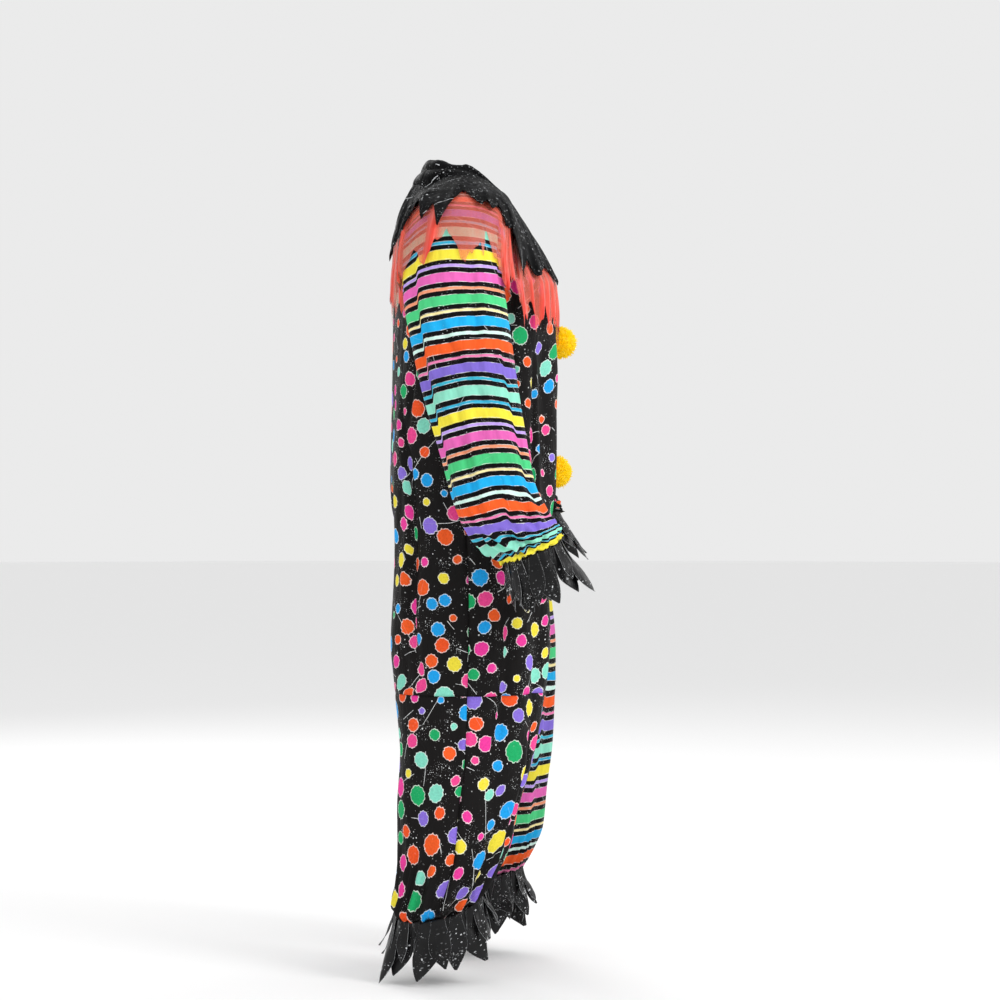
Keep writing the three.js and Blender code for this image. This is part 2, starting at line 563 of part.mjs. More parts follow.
function neckline(turn) {
  const angle = Math.abs(turn > Math.PI ? turn - 2 * Math.PI : turn);
  const back = angle > Math.PI / 2;
  const across = Math.sin(angle) / NECK.wide;
  const along = Math.abs(Math.cos(angle)) / (back ? NECK.aft : NECK.fore);
  return topEdge(turn > Math.PI ? -1 : 1, (NECK_SHARE * Math.atan2(across, along)) / (Math.PI / 2), back);
}

function alongLine(line, reach) {
  const found = line.findIndex((p) => p.along >= reach);
  const after = found < 0 ? line.length - 1 : Math.max(1, found);
  const [a, b] = [line[after - 1], line[after]];
  return a.point.clone().lerp(b.point, (reach - a.along) / (b.along - a.along));
}

// A collar layer: a band that follows the shoulders, then a tooth for each row of its table, on both sides.
function collar(drape, table, lift, bandRows, thickness) {
  const half = table.map((t) => ({ ...t, turn: radians(t.turn) }));
  const mirrored = half.slice(1, -1).reverse().map((t) => ({
    turn: 2 * Math.PI - t.turn,
    tip: t.tip,
    notch: half[half.indexOf(t) - 1].notch,
  }));
  const teeth = [...half, ...mirrored];
  const ends = teeth.map((_, i) => (i + 1 < teeth.length ? teeth[i + 1].turn : teeth[0].turn + 2 * Math.PI));
  const points = [];
  const faces = [];
  const add = (turn, reach) => {
    const here = alongLine(collarLine(drape.hangs, turn % (2 * Math.PI)), Math.max(reach, 0.01));
    const out = here.clone().sub(DRAPE_CENTRE).normalize();
    return points.push(here.addScaledVector(out, lift)) - 1;
  };
  const columns = teeth.flatMap((t, i) =>
    [0, 0.27, 0.5, 0.73].map((part) => ({ turn: mix(t.turn, ends[i], part), reach: t.notch })),
  );
  const bands = steps(bandRows).map((share) => columns.map((c) => add(c.turn, c.reach * share)));
  for (let r = 0; r < bandRows; r++)
    columns.forEach((_, c) => {
      const d = (c + 1) % columns.length;
      faces.push([bands[r][c], bands[r][d], bands[r + 1][d]], [bands[r][c], bands[r + 1][d], bands[r + 1][c]]);
    });
  const edge = bands.at(-1);
  teeth.forEach((t, i) => {
    const before = teeth[(i + teeth.length - 1) % teeth.length];
    const gap = i ? t.turn - before.turn : 2 * Math.PI - before.turn;
    const [l2, l1, m, r1, r2] = [-2, -1, 0, 1, 2].map((k) => edge[(4 * i + k + edge.length) % edge.length]);
    const left = add(t.turn - 0.24 * gap + 2 * Math.PI, mix(before.notch, t.tip, 0.5));
    const right = add(t.turn + 0.24 * (ends[i] - t.turn), mix(t.notch, t.tip, 0.5));
    const tip = add(t.turn, t.tip);
    faces.push([l2, l1, left], [l1, m, left], [m, right, left]);
    faces.push([m, r1, right], [r1, r2, right], [left, right, tip]);
  });
  liftClear(points, faces, drape.lies, lift);
  return facingOut(points, pointNormals(points, faces), faces, thickness);
}

// Raises a skin's points until the middles and edges of all its faces stand clear of what it lies on.
function liftClear(points, faces, lies, clearance) {
  const spots = [[1, 1, 1], [1, 1, 0], [0, 1, 1], [1, 0, 1], [4, 1, 1], [1, 4, 1], [1, 1, 4], [1, 0, 0]];
  for (let pass = 0; pass < 3; pass++) {
    const raise = points.map(() => 0);
    for (const face of faces)
      for (const spot of spots) {
        const away = new THREE.Vector3();
        face.forEach((v, k) => away.addScaledVector(points[v], spot[k] / (spot[0] + spot[1] + spot[2])));
        away.sub(DRAPE_CENTRE);
        const far = away.length();
        const turn = Math.atan2(away.x, -away.y);
        const lain = drapeDistance(lies, turn < 0 ? turn + 2 * Math.PI : turn, Math.acos(away.z / far));
        const short = lain + clearance - far;
        face.forEach((v, k) => {
          if (spot[k]) raise[v] = Math.max(raise[v], short);
        });
      }
    points.forEach((p, v) => p.addScaledVector(p.clone().sub(DRAPE_CENTRE).normalize(), raise[v]));
  }
}

// Normals of a skin's points, from its faces, pointing away from the middle of the shoulders.
function pointNormals(points, faces, from = DRAPE_CENTRE) {
  const normals = points.map(() => new THREE.Vector3());
  for (const [a, b, c] of faces) {
    const face = points[b].clone().sub(points[a]).cross(points[c].clone().sub(points[a]));
    if (face.dot(points[a].clone().sub(from)) < 0) face.negate();
    for (const i of [a, b, c]) normals[i].add(face);
  }
  return normals.map((n) => n.normalize());
}

// A fringe: a short band under a gathered edge, then long leaf-shaped teeth that hang and spread.
function fringe(ring, count, shape) {
  const middle = ring(0).add(ring(0.5)).multiplyScalar(0.5);
  const points = [];
  const faces = [];
  const add = (turn, share, length) => {
    const from = ring(turn);
    const out = from.clone().sub(middle);
    const reach = 2 * SEAM_GAP + share * length;
    const open = out.clone().setLength(shape.spread(turn) * ((share * length) / shape.length) ** 1.2);
    from.addScaledVector(shape.down, reach).add(open);
    return points.push(from) - 1;
  };
  const place = (i) => (i + 0.22 * Math.sin(2.4 * i)) / count;
  const notches = steps(count, 0, count).map((i) => (i < count ? place(i) : 1 + place(0)));
  const top = [];
  const band = [];
  for (let i = 0; i < count; i++)
    for (const turn of [notches[i], (notches[i] + notches[i + 1]) / 2]) {
      top.push(add(turn, 0, 1));
      band.push(add(turn, 1, shape.band));
    }
  top.forEach((_, c) => {
    const d = (c + 1) % top.length;
    faces.push([top[c], top[d], band[d]], [top[c], band[d], band[c]]);
  });
  for (let i = 0; i < count; i++) {
    const [a, b] = [notches[i], notches[i + 1]];
    const length = shape.length * (0.88 + 0.16 * Math.sin(1.9 * i + 0.6));
    const left = add(mix(a, b, 0.12), 0.66, length);
    const centre = add(mix(a, b, 0.5), 0.66, length);
    const right = add(mix(a, b, 0.88), 0.66, length);
    const tip = add(mix(a, b, 0.5 + 0.2 * Math.sin(3.1 * i)), 1, length);
    const [l, c, r] = [band[2 * i], band[2 * i + 1], band[(2 * i + 2) % band.length]];
    faces.push([l, c, centre], [l, centre, left], [c, r, right], [c, right, centre]);
    faces.push([left, centre, tip], [centre, right, tip]);
  }
  middle.addScaledVector(shape.down, shape.length / 2);
  return facingOut(points, pointNormals(points, faces, middle), faces, FRINGE_CLOTH);
}

function cuffFringe(side) {
  const last = RIGHT_SLEEVE.length;
  const down = new THREE.Vector3(0, side > 0 ? -0.4 : -0.24, -0.97).normalize();
  return fringe((turn) => sleevePoint(side, last, ringAngle(turn)), CUFF_TEETH, {
    down,
    band: 24,
    length: 100,
    spread: (turn) => 16 + 26 * Math.max(0, Math.cos(2 * Math.PI * (turn - 0.25))) ** 2,
  });
}

function ankleFringe(side) {
  const ring = (turn) => bodyPoint(side, (turn + 0.5) % 1, ANKLE_Z);
  return fringe(ring, ANKLE_TEETH, {
    down: new THREE.Vector3(0, 0, -1),
    band: 26,
    length: 106,
    spread: (turn) => 28 - 12 * Math.cos(4 * Math.PI * turn),
  });
}

// A pom-pom: a ball pressed flat where it sits on the centre front.
function pompom(z, fronts) {
  const caster = new THREE.Raycaster();
  const clothY = (x, level) => {
    caster.set(new THREE.Vector3(x, -400, level), new THREE.Vector3(0, 1, 0));
    return caster.intersectObjects(fronts)[0].point.y;
  };
  const reach = steps(6, -0.95 * POMPOM_RADIUS, 0.95 * POMPOM_RADIUS);
  const centreY = clothY(1, z) - POMPOM_STAND;
  const spots = reach.flatMap((x) => reach.map((up) => [x, up]));
  const inReach = spots.filter(([x, up]) => Math.hypot(x, up) < POMPOM_RADIUS);
  const flat = Math.min(...inReach.map(([x, up]) => clothY(x + 0.5, z + up))) - SEAM_GAP - centreY;
  const ball = new THREE.SphereGeometry(POMPOM_RADIUS, 14, 9);
  const position = ball.getAttribute("position");
  for (let i = 0; i < position.count; i++) position.setY(i, Math.min(position.getY(i), flat));
  ball.computeVertexNormals();
  ball.userData.place = new THREE.Vector3(0, centreY, z);
  return ball;
}

const dotted = new THREE.MeshStandardMaterial({ color: 0x1a181c, roughness: 0.7, side: THREE.DoubleSide });
const striped = new THREE.MeshStandardMaterial({ color: 0x6a9fb0, roughness: 0.7, side: THREE.DoubleSide });
const black = new THREE.MeshStandardMaterial({ color: 0x151416, roughness: 0.55, side: THREE.DoubleSide });
const red = new THREE.MeshStandardMaterial({ color: 0xe8432e, roughness: 0.5, side: THREE.DoubleSide });
const yellow = new THREE.MeshStandardMaterial({ color: 0xf3c20a, roughness: 0.95 });

const suit = new THREE.Group();

function addPiece(name, geometry, material) {
  const mesh = new THREE.Mesh(geometry, material);
  mesh.name = name;
  if (geometry.userData.place) mesh.position.copy(geometry.userData.place);
  suit.add(mesh);
  return mesh;
}

const underCollar = [];
for (const [side, word, body, arm] of [
  [-1, "right", dotted, striped],
  [1, "left", striped, dotted],
]) {
  for (const [back, facing] of [
    [false, "front"],
    [true, "back"],
  ]) {
    underCollar.push(addPiece(`body_${facing}_${word}`, gridWall(bodyPanel(side, back), CLOTH, false), body));
    addPiece(`leg_${facing}_${word}`, gridWall(legPanel(side, back), CLOTH, false), body);
  }
  underCollar.push(addPiece(`sleeve_${word}`, gridWall(sleeve(side), CLOTH, true), arm));
  addPiece(`cuff_fringe_${word}`, cuffFringe(side), black);
  addPiece(`ankle_fringe_${word}`, ankleFringe(side), black);
}

const sheerLayer = collar(drapeSurface(underCollar), RED_TEETH, SHEER_CLOTH + 2.2, 7, SHEER_CLOTH);
underCollar.push(addPiece("collar_sheer", sheerLayer, red));
const blackLayer = collar(drapeSurface(underCollar), BLACK_TEETH, COLLAR_CLOTH + 2.7, 5, COLLAR_CLOTH);
addPiece("collar_black", blackLayer, black);
const fronts = suit.children.filter((piece) => piece.name.startsWith("body_front"));
POMPOM_Z.forEach((z, i) => addPiece(`pompom_${i + 1}`, pompom(z, fronts), yellow));

export default suit;
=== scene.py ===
# %% [markdown]
# # A clown jumpsuit, as worn
# A loose one-piece suit hangs from the shoulders. Its right half is dotted and its left half is striped, and
# the sleeves swap the two prints. A sheer red layer and a black satin layer make a jagged collar, satin
# leaves fringe the wrists and ankles, and two fluffy pom-poms sit on the front. Every piece is made where the
# CAD model has it.

import bpy
import numpy as np
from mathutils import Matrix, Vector
from mathutils.bvhtree import BVHTree


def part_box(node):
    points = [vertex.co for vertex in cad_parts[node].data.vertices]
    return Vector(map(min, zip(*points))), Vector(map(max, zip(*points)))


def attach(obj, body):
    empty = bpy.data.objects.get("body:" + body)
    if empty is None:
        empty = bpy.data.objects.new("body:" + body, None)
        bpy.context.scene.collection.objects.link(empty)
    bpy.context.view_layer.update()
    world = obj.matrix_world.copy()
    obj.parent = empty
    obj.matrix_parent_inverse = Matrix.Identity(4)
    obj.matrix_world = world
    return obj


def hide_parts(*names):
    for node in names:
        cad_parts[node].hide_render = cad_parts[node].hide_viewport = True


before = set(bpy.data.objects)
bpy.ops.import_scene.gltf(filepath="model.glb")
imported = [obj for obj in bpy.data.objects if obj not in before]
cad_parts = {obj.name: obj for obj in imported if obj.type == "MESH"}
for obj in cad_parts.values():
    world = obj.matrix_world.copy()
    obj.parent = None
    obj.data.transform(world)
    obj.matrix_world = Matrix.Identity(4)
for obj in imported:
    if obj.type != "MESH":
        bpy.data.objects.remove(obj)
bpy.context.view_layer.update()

# %% [markdown]
# ## Camera, floor and light
# The camera stands level with the hips on the wearer's right, 4.5 m away, so the suit is seen from its side
# with little perspective. The floor is a plain pale disc where the wearer's soles would be, and the light
# comes from large soft panels all round, because the suit is looked at from every side.

# %% Camera, floor and light
CAMERA_AT = (-4.5, -0.0519, -0.591)
SEEN_WIDTH = 1.84  # metres across the picture, at the suit's centre line
SENSOR = 36.0
FLOOR_Z, FLOOR_RADIUS, FLOOR_SIDES = -1.45, 30, 48
LIGHTS = [  # name, place, power in watts, size in metres
    ("key", (-2.3, -2.9, 1.7), 72, 1.3),
    ("fill", (-3.2, 2.6, 0.9), 10, 2.4),
    ("front", (2.2, -3.4, 1.2), 26, 2.2),
    ("far", (3.4, 1.8, 1.6), 46, 2.0),
]


def add_object(name, data):
    """A new object of the scene."""
    made = bpy.data.objects.new(name, data)
    bpy.context.scene.collection.objects.link(made)
    return made


def make_camera():
    """A level camera that looks along +X."""
    data = bpy.data.cameras.new("camera")
    data.sensor_width = SENSOR
    data.lens = SENSOR * abs(CAMERA_AT[0]) / SEEN_WIDTH
    camera = add_object("camera", data)
    camera.location = CAMERA_AT
    camera.rotation_euler = (np.pi / 2, 0, -np.pi / 2)
    bpy.context.scene.camera = camera


def make_lights():
    """Large soft panels that all look at the middle of the suit, and a pale world."""
    middle = Vector((0, 0, -0.7))
    for name, place, power, size in LIGHTS:
        data = bpy.data.lights.new(name, "AREA")
        data.energy, data.size = power, size
        lamp = add_object(name, data)
        lamp.location = place
        lamp.rotation_euler = (middle - Vector(place)).to_track_quat("-Z", "Y").to_euler()
    world = bpy.data.worlds.new("studio")
    world.use_nodes = True
    background = world.node_tree.nodes["Background"]
    background.inputs["Color"].default_value = (1.0, 1.0, 1.0, 1.0)
    background.inputs["Strength"].default_value = 0.83
    bpy.context.scene.world = world


def make_floor():
    """A flat disc."""
    angle = np.linspace(0, 2 * np.pi, FLOOR_SIDES, endpoint=False)
    height = np.full(FLOOR_SIDES, FLOOR_Z)
    rim = np.stack([FLOOR_RADIUS * np.cos(angle), FLOOR_RADIUS * np.sin(angle), height], axis=1)
    mesh = bpy.data.meshes.new("floor")
    mesh.from_pydata(rim.tolist(), [], [list(range(FLOOR_SIDES))])
    paint = bpy.data.materials.new("pale floor")
    paint.use_nodes = True
    surface = paint.node_tree.nodes["Principled BSDF"].inputs
    surface["Base Color"].default_value = (0.93, 0.93, 0.93, 1)
    surface["Roughness"].default_value = 0.8
    mesh.materials.append(paint)
    floor = add_object("floor", mesh)


make_camera()
make_lights()
make_floor()
bpy.context.scene.view_settings.view_transform = "Standard"
print("camera, lights and floor are in place")

# %% [markdown]
# ## Small helpers
# Sizes below are in millimetres, as on a sewing pattern, and MM turns them to metres when a mesh is made. A
# table names its columns once, and read() gives every column on a smooth curve between the rows.

# %% Helpers for numbers and tables
MM = 0.001


def mix(a, b, t):
    return a + (b - a) * t


def ease(t):
    """0 to 1 with a soft start and a soft end: t * t * (3 - 2 * t)."""
    t = np.clip(t, 0, 1)
    return t * t * (3 - 2 * t)


def rounded(v, power):
    """The sign of v times its size to a power, which squares or sharpens a circle."""
    return np.sign(v) * np.abs(v) ** power


def table(names, *rows):
    """Named columns, sorted by the first one."""
    values = np.array(sorted(rows), float)
    return dict(zip(names.split(), values.T))


def read(rows, value):
    """Every column at places along the first one, on cubic curves with slopes from the neighbouring rows."""
    key = next(iter(rows.values()))
    value = np.clip(value, key[0], key[-1])
    i = np.clip(np.searchsorted(key, value, side="right") - 1, 0, len(key) - 2)
    span = key[i + 1] - key[i]
    t = (value - key[i]) / span
    out = {}
    for name, column in rows.items():
        slope = np.empty_like(column)
        slope[1:-1] = (column[2:] - column[:-2]) / (key[2:] - key[:-2])
        slope[0] = (column[1] - column[0]) / (key[1] - key[0])
        slope[-1] = (column[-1] - column[-2]) / (key[-1] - key[-2])
        out[name] = (
            (2 * t**3 - 3 * t**2 + 1) * column[i]
            + (t**3 - 2 * t**2 + t) * span * slope[i]
            + (3 * t**2 - 2 * t**3) * column[i + 1]
            + (t**3 - t**2) * span * slope[i + 1]
        )
    return out


def stack(x, y, z):
    return np.stack(np.broadcast_arrays(x, y, z), axis=-1)


def unit(v):
    return v / np.maximum(np.linalg.norm(v, axis=-1, keepdims=True), 1e-9)


# %% [markdown]
# ## From a grid to cloth
# Each cloth piece is one grid of points. Its outer face is worked out first, its normals come from the grid
# itself, and a Solidify modifier gives it a thin wall on the inside, with the print's dull reverse in the
# second material.

# %% Helpers for meshes
def grid_normals(points, inside, wrap=False):
    """Cross product of the grid's two directions, turned away from a point inside the garment."""
    if wrap:
        across = np.roll(points, -1, axis=1) - np.roll(points, 1, axis=1)
    else:
        across = np.gradient(points, axis=1)
    normals = unit(np.cross(across, np.gradient(points, axis=0)))
    facing = np.sum(normals * (points - inside))
    return normals if facing > 0 else -normals


def grid_faces(rows, columns, wrap):
    """Numbers of each quad's corners, and their rows and columns. The last column of a closed grid is one
    past."""
    r, c = np.meshgrid(np.arange(rows - 1), np.arange(columns if wrap else columns - 1), indexing="ij")
    r, c = r.ravel(), c.ravel()
    r, c = np.stack([r, r, r + 1, r + 1], 1), np.stack([c, c + 1, c + 1, c], 1)
    return r * columns + c % columns, r, c


def outward_faces(points, wrap, outwards):
    """The grid's quads, all wound the way that makes them look outwards."""
    faces, r, c = grid_faces(*points.shape[:2], wrap)
    flat = points.reshape(-1, 3)
    corner = flat[faces[:, 0]]
    looks = np.cross(flat[faces[:, 1]] - corner, flat[faces[:, 3]] - corner)
    turn_over = np.sum(looks * outwards.reshape(-1, 3)[faces[:, 0]]) < 0
    return [part[:, ::-1] if turn_over else part for part in (faces, r, c)]


def give_values(piece, name, values):
    """Stores one number for each vertex."""
    attribute = piece.data.attributes.new(name, "FLOAT", "POINT")
    attribute.data.foreach_set("value", values.astype(np.float32).ravel())


def add_mesh(name, vertices, faces, uv=None, materials=()):
    """A smooth mesh object in metres from vertices in millimetres, with UVs per face corner in metres."""
    mesh = bpy.data.meshes.new(name)
    mesh.from_pydata((vertices * MM).tolist(), [], faces if isinstance(faces, list) else faces.tolist())
    mesh.polygons.foreach_set("use_smooth", np.ones(len(faces), bool))
    if uv is not None:
        mesh.uv_layers.new(name="cloth").data.foreach_set("uv", np.asarray(uv, np.float32).ravel() * MM)
    for material in materials:
        mesh.materials.append(material)
    mesh.update()
    return add_object(name, mesh)


def wall(piece, thickness, inner_material=1):
    """Gives a piece its thickness, inwards from its outer face."""
    solid = piece.modifiers.new("wall", "SOLIDIFY")
    solid.thickness = thickness * MM
    solid.offset = -1
    solid.material_offset = inner_material
    solid.material_offset_rim = inner_material
    return piece


def closed_map(uv, round_it):
    """The map of a closed grid with one more column: the first one moved on by the whole way round."""
    return np.concatenate([uv, uv[:, :1] + (round_it, 0)], axis=1) if round_it else uv


def cloth_from_grid(name, points, uv, normals, materials, thickness=1.0, round_it=0):
    """A wall of cloth over a grid, facing along the normals. round_it closes a tube of that girth."""
    faces, r, c = outward_faces(points, round_it > 0, normals)
    uv = closed_map(uv, round_it)
    return wall(add_mesh(name, points.reshape(-1, 3), faces, uv[r, c], materials), thickness)


print("helpers are ready")

# %% [markdown]
# ## The suit's own cut
# These are the sizes that the suit was cut and worn to, the same ones as in the CAD model. The trunk is a
# squared oval that turns into two legs over the crotch, and the yoke spans between the chest, the neck and
# the armholes.

# %% Sizes of the body
CHEST_Z, CROTCH_Z, CROTCH_RISE, KNEE_Z, ANKLE_Z = -200, -710, 150, -936, -1302
SIDE_SEAM_Y = 10
TRUNK_POWER, LEG_POWER = 0.8, 0.92
TRUNK = table(
    "z wide fore aft",
    (-200, 186, 161, 131),
    (-290, 186, 163, 134),
    (-390, 188, 163, 136),
    (-490, 194, 164, 138),
    (-590, 200, 165, 139),
    (-710, 204, 165, 139),
)
LEG = table(
    "z x y wide deep rise sag",
    (-600, 102, -3, 101.4, 150, 0, 0),
    (-710, 103, -1, 102.4, 146, 0, 0),
    (-796, 105, 2, 102, 141, 0, 0),
    (-868, 109, 4, 102, 138, 0, 0),
    (-920, 112, 5, 99, 133, 0, 0),
    (-1045, 117, 10, 93, 118, 1, 1),
    (-1128, 121, 20, 88, 109, 5, 4),
    (-1217, 125, 30, 84, 98, 12, 13),
    (-1262, 127, 45, 80, 90, 18, 21),
    (-1290, 128, 57, 71, 84, 20, 26),
    (ANKLE_Z, 128, 57, 55, 75, 18, 27),
)
STRIDE_FROM_Z, STRIDE_SLOPE = -640, 0.108
NECK = dict(wide=80, fore=70, aft=66, y=8, front_z=-34, side_z=4, nape_z=25)
ARMHOLE = dict(x=187, y=16, z=-95, deep=80, tall=61, pull_in=20)
NECK_SHARE = 0.5  # of a panel's top edge, the rest is the shoulder seam
SEAM_RISE = 1 / 8  # of the yoke's outer edge, the rest is the armhole
SEAM_GAP = 0.3
CENTRE_FRONT = table(
    "rise y z",
    (0, -151, -200),
    (0.2, -133, -166),
    (0.4, -110, -133),
    (0.6, -88, -101),
    (0.8, -71, -69),
    (1, -62, -34),
)
CENTRE_BACK = table(
    "rise y z",
    (0, 141, -200),
    (0.25, 135, -136),
    (0.5, 119, -74),
    (0.75, 98, -18),
    (1, 74, 25),
)


# %% The body's outer face
def body_point(side, turn, z):
    """Points round one half: turn 0 is the centre front or inseam, 0.5 the side seam, 1 the centre back. The
    trunk is a squared half oval, the leg a whole one, and the two are mixed over the crotch, where the seam
    follows a U."""
    turn, z = np.broadcast_arrays(np.asarray(turn, float), np.asarray(z, float))
    trunk, leg = read(TRUNK, z), read(LEG, z)
    half = np.pi * turn
    reach = np.where(turn < 0.5, trunk["fore"], trunk["aft"])
    trunk_x = trunk["wide"] * rounded(np.sin(half), TRUNK_POWER)
    trunk_y = SIDE_SEAM_Y - reach * rounded(np.cos(half), TRUNK_POWER)
    leg_x = leg["x"] - leg["wide"] * rounded(np.cos(2 * half), LEG_POWER)
    leg_y = leg["y"] - leg["deep"] * rounded(np.sin(2 * half), LEG_POWER)
    above = np.clip((z - CROTCH_Z) / CROTCH_RISE, 0, 1)
    seam_blend = 1 - np.sqrt(above * (2 - above))
    cloth_blend = 1 - ease((z - CROTCH_Z + CROTCH_RISE) / (2 * CROTCH_RISE))
    from_seam = ease(np.minimum(turn, 1 - turn) / 0.14)
    over = z > CROTCH_Z
    blend = np.where(over, mix(seam_blend, cloth_blend, from_seam), mix(1, cloth_blend, from_seam))
    stride = np.minimum(0, (z - STRIDE_FROM_Z) * STRIDE_SLOPE) if side > 0 else 0
    x = SEAM_GAP / 2 + mix(trunk_x, leg_x, blend)
    y = mix(trunk_y, leg_y, blend) + stride
    rise = leg["rise"] * (y - stride - leg["y"]) / leg["deep"]
    sagging = leg["sag"] * np.maximum(0, x - leg["x"]) / leg["wide"]
    return stack(side * x, y, z - rise - sagging)


def armhole(side, angle):
    """The armhole seam: 90 degrees at the shoulder, 0 in front, -90 under the arm, 180 behind."""
    x = ARMHOLE["x"] - ARMHOLE["pull_in"] * np.cos(angle) ** 2
    y = ARMHOLE["y"] - ARMHOLE["deep"] * np.cos(angle)
    return stack(side * x, y, ARMHOLE["z"] + ARMHOLE["tall"] * np.sin(angle))


def top_edge(side, share, back):
    """The neck opening, a dropped quarter oval, up to NECK_SHARE, then the straight shoulder seam."""
    share = np.asarray(share, float)
    a = np.minimum(share / NECK_SHARE, 1) * np.pi / 2
    x = SEAM_GAP / 2 + NECK["wide"] * np.sin(a)
    y = NECK["y"] + (NECK["aft"] if back else -NECK["fore"]) * np.cos(a)
    end_z = NECK["nape_z"] if back else NECK["front_z"]
    z = mix(NECK["side_z"], end_z, np.maximum(np.cos(a), 0) ** (2 if back else 0.6))
    out = np.maximum(0, share - NECK_SHARE)[..., None] / (1 - NECK_SHARE)
    return mix(stack(side * x, y, z), armhole(side, np.pi / 2), out)


def arm_edge(side, rise, back):
    """A short piece of side seam, then half of the armhole up to the shoulder."""
    rise = np.asarray(rise, float)
    a = np.pi * (np.maximum(rise - SEAM_RISE, 0) / (1 - SEAM_RISE) - 0.5)
    seam = mix(body_point(side, 0.5, CHEST_Z), armhole(side, -np.pi / 2), (rise / SEAM_RISE)[..., None])
    return np.where((rise >= SEAM_RISE)[..., None], armhole(side, np.pi - a if back else a), seam)


def yoke_point(side, share, rise, back):
    """A Coons patch: the sum of the two blends between opposite edges, less the blend of the four corners."""
    s, r = share[..., None], rise[..., None]
    turn = 1 - share / 2 if back else share / 2
    low, high = body_point(side, turn, CHEST_Z), top_edge(side, share, back)
    middle = read(CENTRE_BACK if back else CENTRE_FRONT, rise)
    inner = stack(side * SEAM_GAP / 2, middle["y"], middle["z"])
    outer = arm_edge(side, rise, back)
    low_in, low_out = body_point(side, 1.0 if back else 0.0, CHEST_Z), body_point(side, 0.5, CHEST_Z)
    high_in, high_out = top_edge(side, 0.0, back), top_edge(side, 1.0, back)
    corners = (1 - s) * (1 - r) * low_in + s * (1 - r) * low_out + (1 - s) * r * high_in + s * r * high_out
    return (1 - r) * low + r * high + (1 - s) * inner + s * outer - corners


# %% [markdown]
# ## Folds
# Loose cloth hangs in long soft folds. Each fold is a bell across its width that fades at both ends. The main
# ones are the CAD model's own, and the creases add a sharper side to each trough, as a real fold has. The
# ends of the sleeves and legs are gathered on elastic, which makes short flutes that deepen towards the edge.

# %% Tables of folds
BODY_FOLDS = [  # side, from z and turn, to z and turn, width in turns, depth (+ is a ridge)
    (-1, -350, 0, -690, 0, 0.06, -11),
    (1, -350, 0, -690, 0, 0.06, -11),
    (-1, -270, 0.1, -660, 0.12, 0.04, 8),
    (-1, -260, 0.19, -600, 0.2, 0.04, -9),
    (-1, -700, 0.34, -1060, 0.3, 0.035, -11),
    (-1, -730, 0.25, -1150, 0.22, 0.05, 8),
    (-1, -620, 0.66, -930, 0.64, 0.035, -9),
    (-1, -360, 0.8, -900, 0.83, 0.06, 7),
    (-1, -1010, 0.58, -1290, 0.64, 0.05, -9),
    (-1, -1060, 0.42, -1290, 0.36, 0.045, -9),
    (1, -250, 0.11, -650, 0.13, 0.04, 8),
    (1, -290, 0.2, -620, 0.23, 0.045, -8),
    (1, -740, 0.21, -1290, 0.17, 0.03, -11),
    (1, -660, 0.35, -1000, 0.38, 0.05, -8),
    (1, -430, 0.82, -880, 0.79, 0.06, 7),
    (1, -1020, 0.62, -1290, 0.57, 0.05, -9),
]
BODY_CREASES = [  # the same columns; these have a sharp side, given by the width's sign
    (-1, -215, 0.43, -420, 0.33, 0.014, -4.5),
    (-1, -230, 0.57, -450, 0.66, 0.016, -4.5),
    (-1, -320, 0.257, -650, 0.25, -0.013, -5.5),
    (-1, -250, 0.08, -470, 0.05, 0.012, -4),
    (-1, -480, 0.37, -700, 0.31, 0.014, -5),
    (-1, -520, 0.12, -705, 0.055, -0.013, -5),
    (-1, -560, 0.88, -705, 0.945, 0.014, -5),
    (-1, -400, 0.79, -930, 0.58, 0.014, -6),
    (-1, -240, 0.7, -480, 0.73, -0.014, -4),
    (-1, -630, 0.41, -1070, 0.445, 0.014, -6.5),
    (-1, -840, 0.14, -1120, 0.12, -0.012, -5),
    (-1, -900, 0.53, -1160, 0.5, 0.012, -4),
    (-1, -985, 0.28, -1215, 0.33, 0.013, -6),
    (-1, -1080, 0.17, -1280, 0.2, 0.012, -5),
    (-1, -1040, 0.77, -1270, 0.74, -0.013, -6),
    (-1, -960, 0.9, -1200, 0.87, 0.012, -4),
    (1, -215, 0.42, -430, 0.34, 0.015, -4.5),
    (1, -225, 0.58, -400, 0.67, -0.014, -4.5),
    (1, -300, 0.07, -520, 0.09, 0.012, -4),
    (1, -350, 0.29, -600, 0.31, 0.013, -4),
    (1, -500, 0.14, -705, 0.06, 0.014, -5),
    (1, -540, 0.87, -705, 0.94, -0.013, -5),
    (1, -420, 0.7, -700, 0.73, 0.013, -4),
    (1, -780, 0.45, -1040, 0.47, 0.013, -5),
    (1, -820, 0.1, -1100, 0.08, 0.012, -5),
    (1, -880, 0.56, -1150, 0.52, -0.013, -4),
    (1, -1000, 0.3, -1240, 0.34, 0.013, -6),
    (1, -1030, 0.8, -1270, 0.76, 0.013, -6),
    (1, -1090, 0.93, -1280, 0.9, 0.012, -5),
]
SLEEVE_FOLDS = [  # side, from share and turn, to share and turn, width in turns, depth
    (-1, 0.34, 0.87, 0.74, 0.83, 0.03, -8),
    (-1, 0.5, 0.13, 0.92, 0.17, 0.035, -7),
    (-1, 0.78, 0.95, 0.99, 1.05, 0.04, -7),
    (1, 0.38, 0.85, 0.8, 0.8, 0.035, -8),
    (1, 0.46, 0.12, 0.9, 0.2, 0.035, -7),
]
